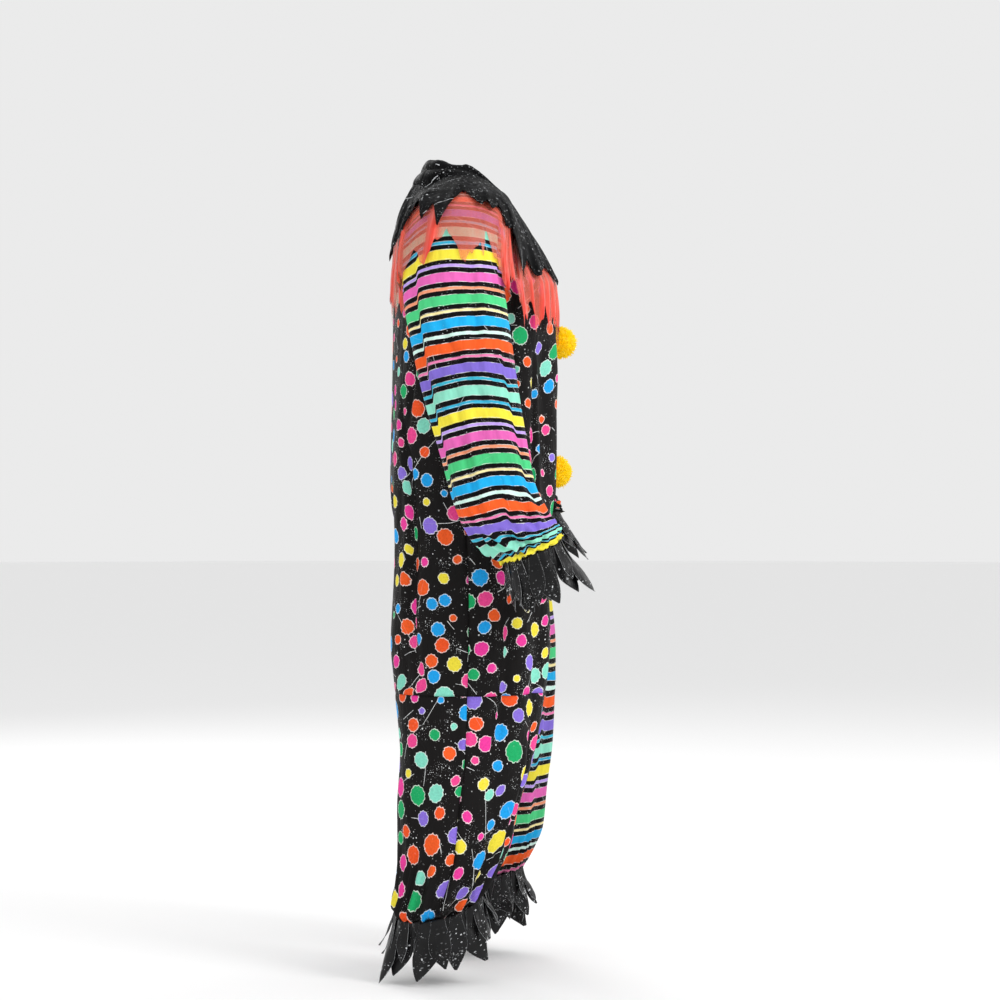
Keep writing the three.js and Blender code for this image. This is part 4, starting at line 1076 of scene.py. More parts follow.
def collar(drape, teeth, folds, base, sharpness, tears, rows, columns, roll):
    """Rows of equal share from the neckline to the jagged edge, lifted off the suit by the layer's own folds.
    roll is for the black layer, which is rolled at the neck and mapped as flat cloth; the red one has threads
    that run outwards."""
    lies, hangs = drape
    turn = np.linspace(0, 2 * np.pi, columns, endpoint=False)
    edge = jagged_edge(teeth, turn, sharpness) + ragged(turn, tears, base)
    edge = edge + (0 if roll else loose_threads(turn))
    share = np.linspace(0, 1, rows) ** 0.92
    if roll:
        share[1:] = share[:-1] / share[-2]
    reach = mix(0.01 if roll else RED_START, edge[:, None], share[None, :])
    lines, along = collar_lines(hangs, turn)
    points = at_reach(lines, along, reach)
    wide_turn = np.broadcast_to(turn[:, None], reach.shape)
    drift = 0.8 * np.sin(7 * wide_turn + reach / 37) + 0.7 * np.sin(13 * wide_turn - reach / 23 + base)
    height = base + radial_folds(wide_turn, share[None, :], folds) + drift * ease(reach / 60)
    ripple = 1 + np.sin(46 * wide_turn + 2 * np.sin(5 * wide_turn))
    height += 0.8 * ripple * ease(share[None, :] * 2 - 0.6)
    if roll:
        height += neck_roll(wide_turn, reach)
    out = unit(points - DRAPE_CENTRE)
    points = points + out * height[..., None]
    away = points - DRAPE_CENTRE
    far = np.linalg.norm(away, axis=2)
    seen_turn = np.arctan2(away[..., 0], -away[..., 1]) % (2 * np.pi)
    clear = drape_distance(lies, seen_turn, np.arccos(away[..., 2] / far)) + base - far
    turned_in = (base + 7) * (roll and np.arange(rows) == 0)
    points = points + out * (np.maximum(0, clear) - turned_in)[..., None]
    points = points.transpose(1, 0, 2)
    uv = flat_map(wide_turn.T * COLLAR_MIDDLE, reach.T)
    if roll:
        radius = reach.T + NECK_RADIUS
        uv = flat_map(radius * np.sin(wide_turn.T), radius * np.cos(wide_turn.T))
    normals = grid_normals(points, DRAPE_CENTRE, wrap=True)
    return points, uv, normals


# %% [markdown]
# ## Fringes
# A fringe is a band of satin under the elastic, cut into long leaves. Each leaf is a small grid: it hangs
# down from the ring, leans outwards, is creased along its middle and twists a little towards its point. Two
# layers of leaves lie over each other, and all leaves of a layer are worked out in one array.


# %% Fringes
LEAF_ROWS, LEAF_COLUMNS = 22, 9
LEAF_HALF, LEAF_PITCH = 11, 37  # half width of a leaf, and from one to the next on the cloth
BAND_ROWS, BAND_COLUMNS = 7, 150
BAND_GIRTH, BAND_DEPTH = 330, 30


def leaves(ring, middle, count, down, length, spread, lift, seed, wide):
    """Points of a layer of leaves, as leaf x length x width. Each leaf is a flat strip, pleated at its top,
    that runs to a point over its last third; strips differ in length and width, lean a little to one side and
    curl."""
    leaf = np.arange(count)
    wander = np.sin(2.4 * leaf + seed), np.sin(1.9 * leaf + 0.6 + 2 * seed), np.sin(3.1 * leaf + 1.3 * seed)
    first, second, third = (part[:, None, None] for part in wander)
    t, w = np.meshgrid(np.linspace(0, 1, LEAF_ROWS), np.linspace(-1, 1, LEAF_COLUMNS), indexing="ij")
    outline = mix(0.7, 1 + 0.25 * second, ease(t / 0.45)) * (1 - 0.92 * np.clip((t - 0.6) / 0.4, 0, 1) ** 1.3)
    centre = (leaf + 0.3 * wander[0]) / count
    half = wide * 0.6 / count
    turn = centre[:, None, None] + half * (outline * w + 0.9 * third * t**1.6)
    from_ring = ring(turn % 1)
    out = unit(from_ring - middle)
    long = length * (0.86 + 0.18 * second)
    opening = spread(turn) * (t * (0.8 + 0.45 * first)) ** 1.2
    pleat = 2.6 * (1 - np.abs(w)) * (1 - ease(t / 0.7)) * np.sign(third + 0.3)
    curl = (2.4 * np.sin(2.5 * t + 3 * second) * w + 1.1 * np.sin(11 * t + 5 * third)) * t
    height = np.maximum(lift + opening + pleat + curl, lift + 0.3 * opening - 1)
    fall = down * (2 * SEAM_GAP + t * long)[..., None]
    points = from_ring + fall + out * height[..., None]
    across = w * outline * LEAF_HALF + LEAF_PITCH * leaf[:, None, None]
    edge = (1 - np.abs(w)) * outline * LEAF_HALF
    return points, flat_map(across, t * long), edge


def band(ring, middle, down, lift):
    """The gathered band that carries the leaves, with small upright pleats."""
    turn = np.linspace(0, 1, BAND_COLUMNS, endpoint=False)
    t, along = np.meshgrid(turn, np.linspace(0, 1, BAND_ROWS))
    from_ring = ring(t)
    pleats = (1.6 * flutes(t, 33, 0.4) + 1.6) * ease(along * 1.6)
    height = lift + pleats + 3 * along
    fall = down * (2 * SEAM_GAP + BAND_DEPTH * along)[..., None]
    points = from_ring + fall + unit(from_ring - middle) * height[..., None]
    return points, flat_map(t * BAND_GIRTH, along * BAND_DEPTH), 8 * np.ones(t.shape)


def fringe(name, ring, down, length, spread, layers, materials):
    """Joins the band and the layers of leaves, each a count, lift and width, into one mesh."""
    middle = (ring(np.array(0.0)) + ring(np.array(0.5))) / 2
    vertices, faces, uvs, edges, first = [], [], [], [], 0
    parts = [(band(ring, middle, down, -1.0), True)]
    for layer, (count, lift, wide) in enumerate(layers):
        long, seed = length * (1 - 0.12 * layer), 1.1 + 2 * layer
        points, uv, edge = leaves(ring, middle, count, down, long, spread, lift, seed, wide)
        parts += [((points[k], uv[k], edge[k]), False) for k in range(count)]
    inside = middle + down * 50
    for (points, uv, edge), closed in parts:
        corners, r, c = outward_faces(points, closed, points - inside)
        faces.append(first + corners)
        vertices.append(points.reshape(-1, 3))
        uvs.append(closed_map(uv, BAND_GIRTH if closed else 0)[r, c])
        edges.append(edge.reshape(-1))
        first += len(vertices[-1])
    piece = add_mesh(name, np.concatenate(vertices), np.concatenate(faces), np.concatenate(uvs), materials)
    give_values(piece, "edge", np.concatenate(edges) * MM)
    return wall(piece, 0.7, 0)


# %% [markdown]
# ## Pom-poms
# A pom-pom is a bundle of yarn tied in the middle and trimmed to a ball. Thousands of short strands stand out
# of a small core. Each strand is a thin three-sided spike that bends a little, and all of them are worked out
# at once from points spread evenly over a sphere.


# %% Pom-poms
STRANDS, STRAND_RINGS = 2300, 4
STRAND_THICK = 0.85 * np.array([1, 1.05, 0.95, 0.6])  # radius on each ring
SCATTER, UNEVEN, BEND = 0.09, 0.05, 1.6  # of directions, of lengths, and in mm at a strand's tip
ROOT, CORE, FLATTENED = 0.45, 0.84, 0.25  # shares of the radius, and what is left of it past the flat side
CORE_ROWS, CORE_COLUMNS = 14, 24


def strand_faces():
    """Quads round the sides of each strand, and a triangle that closes its end."""
    first = np.arange(STRANDS) * 3 * STRAND_RINGS
    sides = first[:, None, None] + grid_faces(STRAND_RINGS, 3, True)[0][:, [0, 3, 2, 1]]
    ends = first[:, None] + 3 * (STRAND_RINGS - 1) + np.array([0, 2, 1])
    return sides.reshape(-1, 4).tolist() + ends.tolist()


def pompom(name, centre, flat_y, radius, material, seed):
    """Strands on a sphere of evenly turned spirals: 3 corners on 4 rings each, closed at the tip."""
    rng = np.random.default_rng(seed)
    k = np.arange(STRANDS) + 0.5
    lean = np.arccos(1 - 2 * k / STRANDS)
    spin = np.pi * (1 + 5**0.5) * k
    away = stack(np.sin(lean) * np.cos(spin), np.sin(lean) * np.sin(spin), np.cos(lean))
    away = unit(away + rng.normal(0, SCATTER, away.shape))
    aside = unit(np.cross(away, (0.3, 0.2, 0.93)))
    up = np.cross(away, aside)
    uneven = 1 + 0.04 * np.sin(5 * away[:, 0]) * np.cos(4 * away[:, 2])
    reach = radius * (1 + rng.normal(0, UNEVEN, STRANDS)) * uneven
    bend = rng.normal(0, BEND, (STRANDS, 2))
    rings = np.linspace(ROOT, 1, STRAND_RINGS)
    corner = np.arange(3) * 2 * np.pi / 3
    out = (reach[:, None] * rings)[..., None]
    over = (bend[:, :1] * rings**3)[..., None] + STRAND_THICK[:, None] * np.cos(corner)
    along = (bend[:, 1:] * rings**3)[..., None] + STRAND_THICK[:, None] * np.sin(corner)
    strands = sum(
        axis[:, None, None] * size[..., None] for axis, size in ((away, out), (aside, over), (up, along))
    )
    y = strands[..., 1]
    strands[..., 1] = np.minimum(y, flat_y - centre[1] + FLATTENED * np.maximum(y - flat_y, 0))
    tilt = np.linspace(0, np.pi, CORE_ROWS)[:, None]
    turn = np.arange(CORE_COLUMNS)[None, :] / CORE_COLUMNS
    core = CORE * radius * direction(2 * np.pi * turn, tilt)
    core[..., 1] = np.minimum(core[..., 1], flat_y - centre[1])
    core_faces = strands.size // 3 + grid_faces(CORE_ROWS, CORE_COLUMNS, True)[0]
    vertices = np.concatenate([strands.reshape(-1, 3), core.reshape(-1, 3)]) + centre
    return add_mesh(name, vertices, strand_faces() + core_faces.tolist(), None, [material])


print("shapes of the collars, fringes and pom-poms are ready")

# %% [markdown]
# ## Node helpers
# A material is a tree of nodes. Graph adds a node, feeds its sockets by name or number, and gives back an
# output.

# %% Node helpers
def srgb(code):
    """A colour as seen on a screen, such as F7C600, as linear numbers with full alpha."""
    part = np.array([int(code[i : i + 2], 16) for i in (0, 2, 4)]) / 255
    linear = np.where(part <= 0.04045, part / 12.92, ((part + 0.055) / 1.055) ** 2.4)
    return (*[float(p) for p in linear], 1.0)


class Graph:
    """One node tree, in a material or a group."""

    def __init__(self, tree):
        self.tree = tree

    def feed(self, socket, value):
        if isinstance(value, bpy.types.NodeSocket):
            self.tree.links.new(value, socket)
        else:
            socket.default_value = value

    def node(self, kind, inputs=None, out=0, **settings):
        made = self.tree.nodes.new(kind)
        for name, value in settings.items():
            setattr(made, name, value)
        for key, value in (inputs or {}).items():
            self.feed(made.inputs[key], value)
        return made.outputs[out] if out is not None else made

    def math(self, operation, *values, clamp=False):
        return self.node("ShaderNodeMath", dict(enumerate(values)), operation=operation, use_clamp=clamp)

    def blend(self, factor, a, b, mode="MIX"):
        made = self.node("ShaderNodeMix", out=None, data_type="RGBA", blend_type=mode)
        for socket, value in ((made.inputs[0], factor), (made.inputs[6], a), (made.inputs[7], b)):
            self.feed(socket, value)
        return made.outputs[2]

    def step(self, value, low, high, a=0.0, b=1.0):
        """a below low, b above high, and a soft step between."""
        inputs = {0: value, 1: low, 2: high, 3: a, 4: b}
        return self.node("ShaderNodeMapRange", inputs, interpolation_type="SMOOTHSTEP")

    def ramp(self, value, stops, kind="CONSTANT"):
        made = self.node("ShaderNodeValToRGB", {0: value}, out=None)
        made.color_ramp.interpolation = kind
        elements = made.color_ramp.elements
        for k, (place, colour) in enumerate(stops):
            element = elements[k] if k < 2 else elements.new(place)
            element.position, element.color = place, colour
        return made.outputs[0]

    def noise(self, vector, scale, detail=2.0, rough=0.5, kind="3D"):
        inputs = {"Vector": vector, "Scale": scale, "Detail": detail, "Roughness": rough}
        return self.node("ShaderNodeTexNoise", inputs, noise_dimensions=kind)

    def shaken(self, base, noise, amount):
        """The base, moved up and down by noise."""
        return self.math("MULTIPLY_ADD", self.math("SUBTRACT", noise, 0.5), amount, base)

    def shaded(self, colour, share):
        return self.blend(1.0, colour, self.grey(share), "MULTIPLY")

    def parts(self, vector):
        return self.node("ShaderNodeSeparateXYZ", {0: vector}, out=None).outputs

    def grey(self, value):
        return self.node("ShaderNodeCombineColor", {0: value, 1: value, 2: value})

    def turned(self, vector, angle):
        return self.node("ShaderNodeVectorRotate", {"Vector": vector, "Angle": angle}, rotation_type="Z_AXIS")

    def stretched(self, vector, x, y):
        return self.node("ShaderNodeMapping", {"Vector": vector, "Scale": (x, y, 1)})

    def cells(self, vector, scale, randomness=1.0, feature="F1"):
        """Outputs of cells scattered over the cloth."""
        inputs = {"Vector": vector, "Scale": scale, "Randomness": randomness}
        kind = {"voronoi_dimensions": "2D", "feature": feature}
        return self.node("ShaderNodeTexVoronoi", inputs, out=None, **kind).outputs

    def chances(self, cells):
        """Three random numbers for each cell."""
        return self.node("ShaderNodeSeparateColor", {0: cells["Color"]}, out=None).outputs

    def group(self, tree, inputs, out=0):
        """One output of a node group, or all of them."""
        made = self.node("ShaderNodeGroup", out=None, node_tree=tree)
        for name, value in inputs.items():
            self.feed(made.inputs[name], value)
        return made.outputs if out is None else made.outputs[out]


def new_group(name, inputs, outputs):
    """A node group: each socket is a name with its kind and its first value."""
    tree = bpy.data.node_groups.new(name, "ShaderNodeTree")
    for way, sockets in (("INPUT", inputs), ("OUTPUT", outputs)):
        for label, (kind, value) in sockets.items():
            socket = tree.interface.new_socket(name=label, in_out=way, socket_type="NodeSocket" + kind)
            if value is not None:
                socket.default_value = value
    graph = Graph(tree)
    given = graph.node("NodeGroupInput", out=None).outputs
    result = graph.node("NodeGroupOutput", out=None).inputs
    return graph, given, result


# %% [markdown]
# ## The stripes
# The striped cloth is black with bright bands, wide and thin by turns, that look painted by hand: their edges
# wander a little and carry a thin pale outline. One ramp holds the colours of a whole repeat, and the
# position along the cloth is shaken by noise before it goes in. A second ramp over one pair of bands draws
# the outlines.

# %% Stripe print group
WIDE = ["F6E645", "E768B8", "4FCF84", "22AEEA", "F5612A", "8670D6", "93E6CC"]
THIN = ["C0A0EE", "F49A74", "F8E8A8", "D2F6EA", "F080B4", "3FBBD6", "3AB4D8"]
PAIRS = len(WIDE)  # a wide and a thin band each
STRIPE_GROUND, STRIPE_OUTLINE = (0.005, 0.004, 0.005, 1), (0.86, 0.87, 0.84, 1)
BAND_ENDS = (0.44, 0.655, 0.785)  # of a pair: the wide band ends, the thin one starts, the thin one ends


def stripe_group():
    graph, given, result = new_group(
        "striped print",
        {
            "Cloth": ("Vector", None),
            "Start": ("Float", 0.0),
            "Repeat": ("Float", 0.288),
            "Painted shade value": ("Float", 1.0),
        },
        {"Color": ("Color", None), "Ink": ("Float", None)},
    )
    parts = graph.parts(given["Cloth"])
    slow = graph.noise(given["Cloth"], 9, 1)
    fine = graph.noise(given["Cloth"], 160, 3, 0.6)
    shaken = graph.shaken(graph.shaken(parts[1], slow, 0.012), fine, 0.0016)
    down = graph.math("SUBTRACT", given["Start"], shaken)
    repeats = graph.math("DIVIDE", down, given["Repeat"])
    whole = graph.math("FRACT", repeats)
    pair = graph.math("FRACT", graph.math("MULTIPLY", repeats, PAIRS))
    stops = []
    for k, (wide, thin) in enumerate(zip(WIDE, THIN)):
        colours = (srgb(wide), STRIPE_GROUND, srgb(thin), STRIPE_GROUND)
        stops += [((k + place) / PAIRS, colour) for place, colour in zip((0, *BAND_ENDS), colours)]
    bands = graph.ramp(whole, stops)
    white, clear = (1, 1, 1, 1), (0, 0, 0, 1)
    outline = []
    for low, high in ((0.0, 0.022), (0.425, 0.447), (0.645, 0.665), (0.775, 0.795)):
        outline += [(low, white), (high, clear)]
    edges = graph.ramp(pair, outline)
    patchy = graph.step(graph.noise(given["Cloth"], 60, 2), 0.44, 0.58)
    rubbed = graph.math("MULTIPLY", edges, graph.math("MULTIPLY_ADD", patchy, 0.75, 0.12))
    scratch = graph.noise(graph.stretched(given["Cloth"], 95, 17), 1, 3)
    bands = graph.shaded(bands, graph.shaken(1.0, scratch, 0.5))
    colour = graph.blend(rubbed, bands, STRIPE_OUTLINE)
    # Painted shade: the value input darkens the whole print to stand in for shadow; 1 leaves it as printed.
    hue = {"Saturation": 1.0, "Value": given["Painted shade value"], "Color": colour}
    graph.feed(result["Color"], graph.node("ShaderNodeHueSaturation", hue))
    coloured = list(zip((0, *BAND_ENDS), (white, clear, white, clear)))
    graph.feed(result["Ink"], graph.ramp(pair, coloured))
    return graph.tree


STRIPES = stripe_group()
print("stripes:", len(WIDE) + len(THIN), "bands in a repeat")

# %% [markdown]
# ## The dots
# The other cloth is black with loose round dots in bright colours, of many sizes. Cells scattered over the
# cloth give each dot its place, size and colour, and a dot never reaches past its own cell. Rough noise on
# the distance makes its rim uneven, as a sponge print's is, and a pale line follows the rim.

# %% Dot print group
DOTS = ["EE3F9E", "22A2EC", "F5592A", "F1DF42", "8C72DC", "F04A93", "86DEC6", "22AA66", "F4602A"]
DOT_GROUND, DOT_RIM = (0.010, 0.009, 0.009, 1), (0.9, 0.92, 0.88, 1)


def dot_group():
    graph, given, result = new_group(
        "dotted print",
        {
            "Cloth": ("Vector", None),
            "Cell": ("Float", 0.0405),
            "Smallest": ("Float", 0.0065),
            "Largest": ("Float", 0.0195),
        },
        {"Color": ("Color", None), "Ink": ("Float", None)},
    )
    turned = graph.turned(given["Cloth"], 0.5)
    scale = graph.math("DIVIDE", 1.0, given["Cell"])
    cells = graph.cells(turned, scale, 0.6)
    room = graph.cells(turned, scale, 0.6, "N_SPHERE_RADIUS")["Radius"]
    chance = graph.chances(cells)
    far = graph.math("MULTIPLY", cells["Distance"], given["Cell"])
    rough = graph.noise(given["Cloth"], 190, 2, 0.65)
    far = graph.shaken(far, rough, 0.0052)
    away = graph.node("ShaderNodeVectorMath", {0: turned, 1: cells["Position"]}, operation="SUBTRACT")
    parts = graph.parts(away)
    angle = graph.math("ARCTAN2", parts[1], parts[0])
    corner = graph.math("PINGPONG", graph.math("MULTIPLY_ADD", angle, 11 / (2 * np.pi), chance[0]), 0.5)
    far = graph.math("MULTIPLY", far, graph.math("MULTIPLY_ADD", corner, 0.17, 0.95))
    size = graph.math("FRACT", graph.math("MULTIPLY", chance[2], 17.3))
    spread = graph.math("SUBTRACT", given["Largest"], given["Smallest"])
    wanted = graph.math("MULTIPLY_ADD", size, spread, given["Smallest"])
    most = graph.math("MULTIPLY_ADD", graph.math("MULTIPLY", room, given["Cell"]), 0.97, -0.001)
    radius = graph.math("MINIMUM", wanted, most)
    past = graph.math("SUBTRACT", far, radius)
    disc = graph.step(past, -0.0002, 0.0002, 1.0, 0.0)
    rim = graph.math("MULTIPLY", disc, graph.step(past, -0.0016, -0.0009))
    stops = [(k / len(DOTS), srgb(code)) for k, code in enumerate(DOTS)]
    colour = graph.ramp(chance[2], stops)
    dabbed = graph.step(graph.noise(given["Cloth"], 260, 3, 0.7), 0.2, 0.7, 0.82, 1.06)
    colour = graph.shaded(colour, dabbed)
    colour = graph.blend(graph.math("MULTIPLY", rim, 0.75), colour, DOT_RIM)
    graph.feed(result["Color"], graph.blend(disc, DOT_GROUND, colour))
    graph.feed(result["Ink"], disc)
    return graph.tree


DOTTED = dot_group()

# %% [markdown]
# ## Splatter, weave and crumple
# Thin white flicks of paint, drops and dust lie over the black cloth. Cells scattered over the cloth place
# them: a flick is a thin line through its cell's middle at an angle of its own, and dust gathers in patches.
# Woven threads and a fine crumple give the surface its height.


# %% Splatter, weave and crumple groups
# cell, half length and half width in metres, share kept
FLICKS = [(0.1, 0.075, 0.00036, 0.75), (0.06, 0.02, 0.0004, 0.5)]
# cell in metres, radius in cells, how crowded the place has to be
DROPS = [(0.0034, 0.225, 0.53), (0.0075, 0.165, 0.52), (0.017, 0.09, 0.44)]


def flicks(graph, cloth, cell, half_length, half_width, kept):
    """One flick in each cell of the cloth, at the angle that the cell's chance gives, in some cells only."""
    cells = graph.cells(cloth, 1 / cell)
    chance = graph.chances(cells)
    away = graph.node("ShaderNodeVectorMath", {0: cloth, 1: cells["Position"]}, operation="SUBTRACT")
    parts = graph.parts(graph.turned(away, graph.math("MULTIPLY", chance[0], 2 * np.pi)))
    wide = graph.math("MULTIPLY", graph.noise(cloth, 120, 1), 2.4 * half_width)
    bend = graph.math("MULTIPLY", graph.math("MULTIPLY", parts[0], parts[0]), 1.2)
    off = graph.math("ABSOLUTE", graph.math("ADD", parts[1], bend))
    line = graph.math("LESS_THAN", off, wide)
    half = graph.math("MULTIPLY", chance[1], half_length)
    reach = graph.math("LESS_THAN", graph.math("ABSOLUTE", parts[0]), half)
    line = graph.math("MULTIPLY", line, reach)
    return graph.math("MULTIPLY", line, graph.math("LESS_THAN", chance[2], kept))


def splatter_group():
    graph, given, result = new_group(
        "white splatter",
        {"Cloth": ("Vector", None), "Amount": ("Float", 1.0), "Lines": ("Float", 1.0)},
        {"Mask": ("Float", None)},
    )
    cloth = given["Cloth"]
    total = 0.0
    for cell, half_length, half_width, kept in FLICKS:
        share = graph.math("MULTIPLY", given["Lines"], kept)
        total = graph.math("MAXIMUM", total, flicks(graph, cloth, cell, half_length, half_width, share))
    for cell, radius, low in DROPS:
        drops = graph.cells(cloth, 1 / cell)
        reach = graph.math("MULTIPLY", graph.math("POWER", graph.chances(drops)[0], 2.0), radius)
        drop = graph.math("LESS_THAN", drops["Distance"], reach)
        crowd = graph.step(graph.noise(cloth, 13 + 0.05 / cell, 2), low, low + 0.16)
        total = graph.math("MAXIMUM", total, graph.math("MULTIPLY", drop, crowd))
    graph.feed(result["Mask"], graph.math("MULTIPLY", total, given["Amount"], clamp=True))
    return graph.tree


def weave_group():
    """Height of a plain weave: threads of both directions, as waves, the higher one on top."""
    inputs = {"Cloth": ("Vector", None), "Threads per metre": ("Float", 1500.0)}
    graph, given, result = new_group("weave", inputs, {"Height": ("Float", None)})
    parts = graph.parts(given["Cloth"])
    waves = []
    for part in (parts[0], parts[1]):
        turn = graph.math("MULTIPLY", graph.math("MULTIPLY", part, given["Threads per metre"]), 2 * np.pi)
        waves.append(graph.math("MULTIPLY_ADD", graph.math("SINE", turn), 0.5, 0.5))
    graph.feed(result["Height"], graph.math("MAXIMUM", waves[0], waves[1]))
    return graph.tree


def crumple_group():
    """Height of the small creases of thin cloth: three sizes of ridged noise."""
    inputs = {"Place": ("Vector", None), "Long": ("Vector", (1, 1, 0.35))}
    graph, given, result = new_group("crumple", inputs, {"Height": ("Float", None)})
    at = graph.node("ShaderNodeVectorMath", {0: given["Place"], 1: given["Long"]}, operation="MULTIPLY")
    total = 0.0
    for scale, strength in ((22, 1.0), (48, 0.5), (110, 0.2)):
        ridge = graph.math("ABSOLUTE", graph.math("SUBTRACT", graph.noise(at, scale, 1.5, 0.5), 0.5))
        total = graph.math("MULTIPLY_ADD", ridge, strength * 2, total)
    graph.feed(result["Height"], total)
    return graph.tree


SPLATTER, WEAVE, CRUMPLE = splatter_group(), weave_group(), crumple_group()
print("print groups:", [g.name for g in bpy.data.node_groups])

# %% [markdown]
# ## Materials
# The body cloth is light woven polyester with a slight sheen, printed on one side only, so its inside is a
# dull grey black. The body's stripes are darkened all over as painted shade. The fringe and the top collar
# are black satin flecked with white, and the fringe's leaves carry a painted highlight along their edges.
# The collar below is red organza, a thin weave that lets the print show through where it lies flat and grows
# dense where it is folded. The pom-poms are yarn with a faint painted glow.


# %% Materials
PAINT, SATIN_PAINT = (0.8, 0.82, 0.82, 1), (0.78, 0.8, 0.82, 1)  # white flicks


def new_material(name):
    material = bpy.data.materials.new(name)
    material.use_nodes = True
    graph = Graph(material.node_tree)
    cloth = graph.node("ShaderNodeUVMap", uv_map="cloth")
    place = graph.node("ShaderNodeTexCoord", out=3)
    return material, graph, cloth, place


def set_surface(graph, **values):
    """Feeds the sockets of the surface, each with a number, a colour or an output."""
    sockets = graph.tree.nodes["Principled BSDF"].inputs
    for label, value in values.items():
        graph.feed(sockets[label.replace("_", " ")], value)


def raised(graph, layers):
    """Bump nodes in a row: each layer is a height with its distance in metres and its strength."""
    normal = None
    for height, distance, strength in layers:
        inputs = {"Height": height, "Distance": distance, "Strength": strength}
        if normal is not None:
            inputs["Normal"] = normal
        normal = graph.node("ShaderNodeBump", inputs)
    set_surface(graph, Normal=normal)


def creased(graph, cloth, place, crumple, weave, threads=1500.0):
    """Small creases and woven threads, each with a distance and a strength."""
    creases = graph.group(CRUMPLE, {"Place": place})
    threads = graph.group(WEAVE, {"Cloth": cloth, "Threads per metre": threads})
    raised(graph, [(creases, *crumple), (threads, *weave)])


def printed_cloth(name, print_tree, inputs, splatter):
    material, graph, cloth, place = new_material(name)
    printed = graph.group(print_tree, {"Cloth": cloth, **inputs}, out=None)
    fleck = graph.group(SPLATTER, {"Cloth": cloth, "Amount": splatter})
    shown = graph.math("MULTIPLY", fleck, graph.step(printed["Ink"], 0.0, 1.0, 1.0, 0.15))
    colour = graph.blend(shown, printed["Color"], PAINT)
    colour = graph.shaded(colour, graph.step(graph.noise(place, 6, 3), 0.25, 0.75, 0.9, 1.06))
    rough = graph.step(printed["Ink"], 0.0, 1.0, 0.5, 0.62)
    set_surface(graph, Base_Color=colour, Roughness=rough, Specular_IOR_Level=0.06)
    creased(graph, cloth, place, (0.006, 0.7), (0.00012, 0.5))
    return material


def cloth_reverse():
    material, graph, cloth, place = new_material("cloth reverse")
    shade = graph.step(graph.noise(place, 14, 3), 0.3, 0.7, 0.03, 0.05)
    set_surface(graph, Base_Color=graph.grey(shade), Roughness=0.8)
    creased(graph, cloth, place, (0.003, 0.5), (0.0001, 0.5))
    return material


def black_satin(name, edge_highlight, gloss):
    material, graph, cloth, place = new_material(name)
    fleck = graph.group(SPLATTER, {"Cloth": cloth, "Amount": 0.85, "Lines": 0.3})
    elsewhere = {"Vector": cloth, "Location": (3.1, 1.7, 0), "Scale": (0.7, 0.7, 1)}
    aside = graph.node("ShaderNodeMapping", elsewhere)
    fleck = graph.math("MAXIMUM", fleck, graph.group(SPLATTER, {"Cloth": aside, "Amount": 0.7, "Lines": 0.2}))
    if edge_highlight:
        # Painted highlight: a thin pale line along each leaf's edge, its reach made uneven by noise.
        edge = graph.node("ShaderNodeAttribute", attribute_name="edge", out=2)
        shaken_edge_distance = graph.math("MULTIPLY_ADD", graph.noise(place, 300, 2), 0.0008, edge)
        fleck = graph.math("MAXIMUM", fleck, graph.step(shaken_edge_distance, 0.0003, 0.0007, 0.5, 0.0))
    shade = graph.step(graph.noise(place, 18, 2), 0.3, 0.7, 0.003, 0.009)
    black = graph.node("ShaderNodeCombineColor", {0: shade, 1: shade, 2: graph.math("MULTIPLY", shade, 1.08)})
    colour = graph.blend(fleck, black, SATIN_PAINT)
    rough = graph.step(graph.noise(place, 40, 3), 0.3, 0.7, 0.5 - gloss, 0.62 - gloss)
    set_surface(graph, Base_Color=colour, Roughness=rough, Specular_IOR_Level=gloss)
    creased(graph, cloth, place, (0.004, 0.6), (0.00006, 0.4), 2200.0)
    return material


def red_organza():
    """Alpha rises with the folds: the "dense" attribute is 0 where the layer is flat and 1 where it is
    folded."""
    material, graph, cloth, place = new_material("red organza")
    dense = graph.node("ShaderNodeAttribute", attribute_name="dense", out=2)
    strands = graph.noise(graph.stretched(cloth, 420, 26), 1, 3, 0.6)
    uneven = graph.shaken(dense, strands, 0.5)
    alpha = graph.step(uneven, -0.2, 1.0, 0.25, 0.95)
    stops = [(0.0, srgb("FF7A62")), (0.45, srgb("FB5640")), (1.0, srgb("E8301F"))]
    lit = graph.step(graph.noise(graph.stretched(cloth, 160, 12), 1, 2), 0.6, 0.75, 0.0, 0.35)
    colour = graph.blend(lit, graph.ramp(uneven, stops, "EASE"), srgb("FF9A80"))
    rough = graph.step(strands, 0.3, 0.7, 0.3, 0.5)
    set_surface(graph, Base_Color=colour, Alpha=alpha, Roughness=rough)
    set_surface(graph, Specular_IOR_Level=0.5, Sheen_Weight=0.4, Sheen_Roughness=0.4)
    raised(graph, [(strands, 0.0008, 0.6), (graph.group(CRUMPLE, {"Place": place}), 0.002, 0.4)])
    return material


def yellow_fluff():
    material, graph, _, place = new_material("yellow fluff with painted glow")
    patch = graph.noise(place, 160, 3, 0.6)
    stops = [(0.25, srgb("FFCC00")), (0.5, srgb("FFDC10")), (0.8, srgb("FFF070"))]
    rough = graph.step(patch, 0.3, 0.7, 0.75, 0.95)
    set_surface(graph, Base_Color=graph.ramp(patch, stops, "LINEAR"), Roughness=rough)
    set_surface(graph, Sheen_Weight=0.6, Sheen_Roughness=0.5, Sheen_Tint=(1, 0.8, 0.1, 1))
    # Painted glow: a faint orange emission that lifts the shade between the strands.
    set_surface(graph, Specular_IOR_Level=0.1, Emission_Color=(1, 0.62, 0.0, 1), Emission_Strength=0.16)
    raised(graph, [(graph.noise(place, 900, 2), 0.0004, 0.5)])
    return material


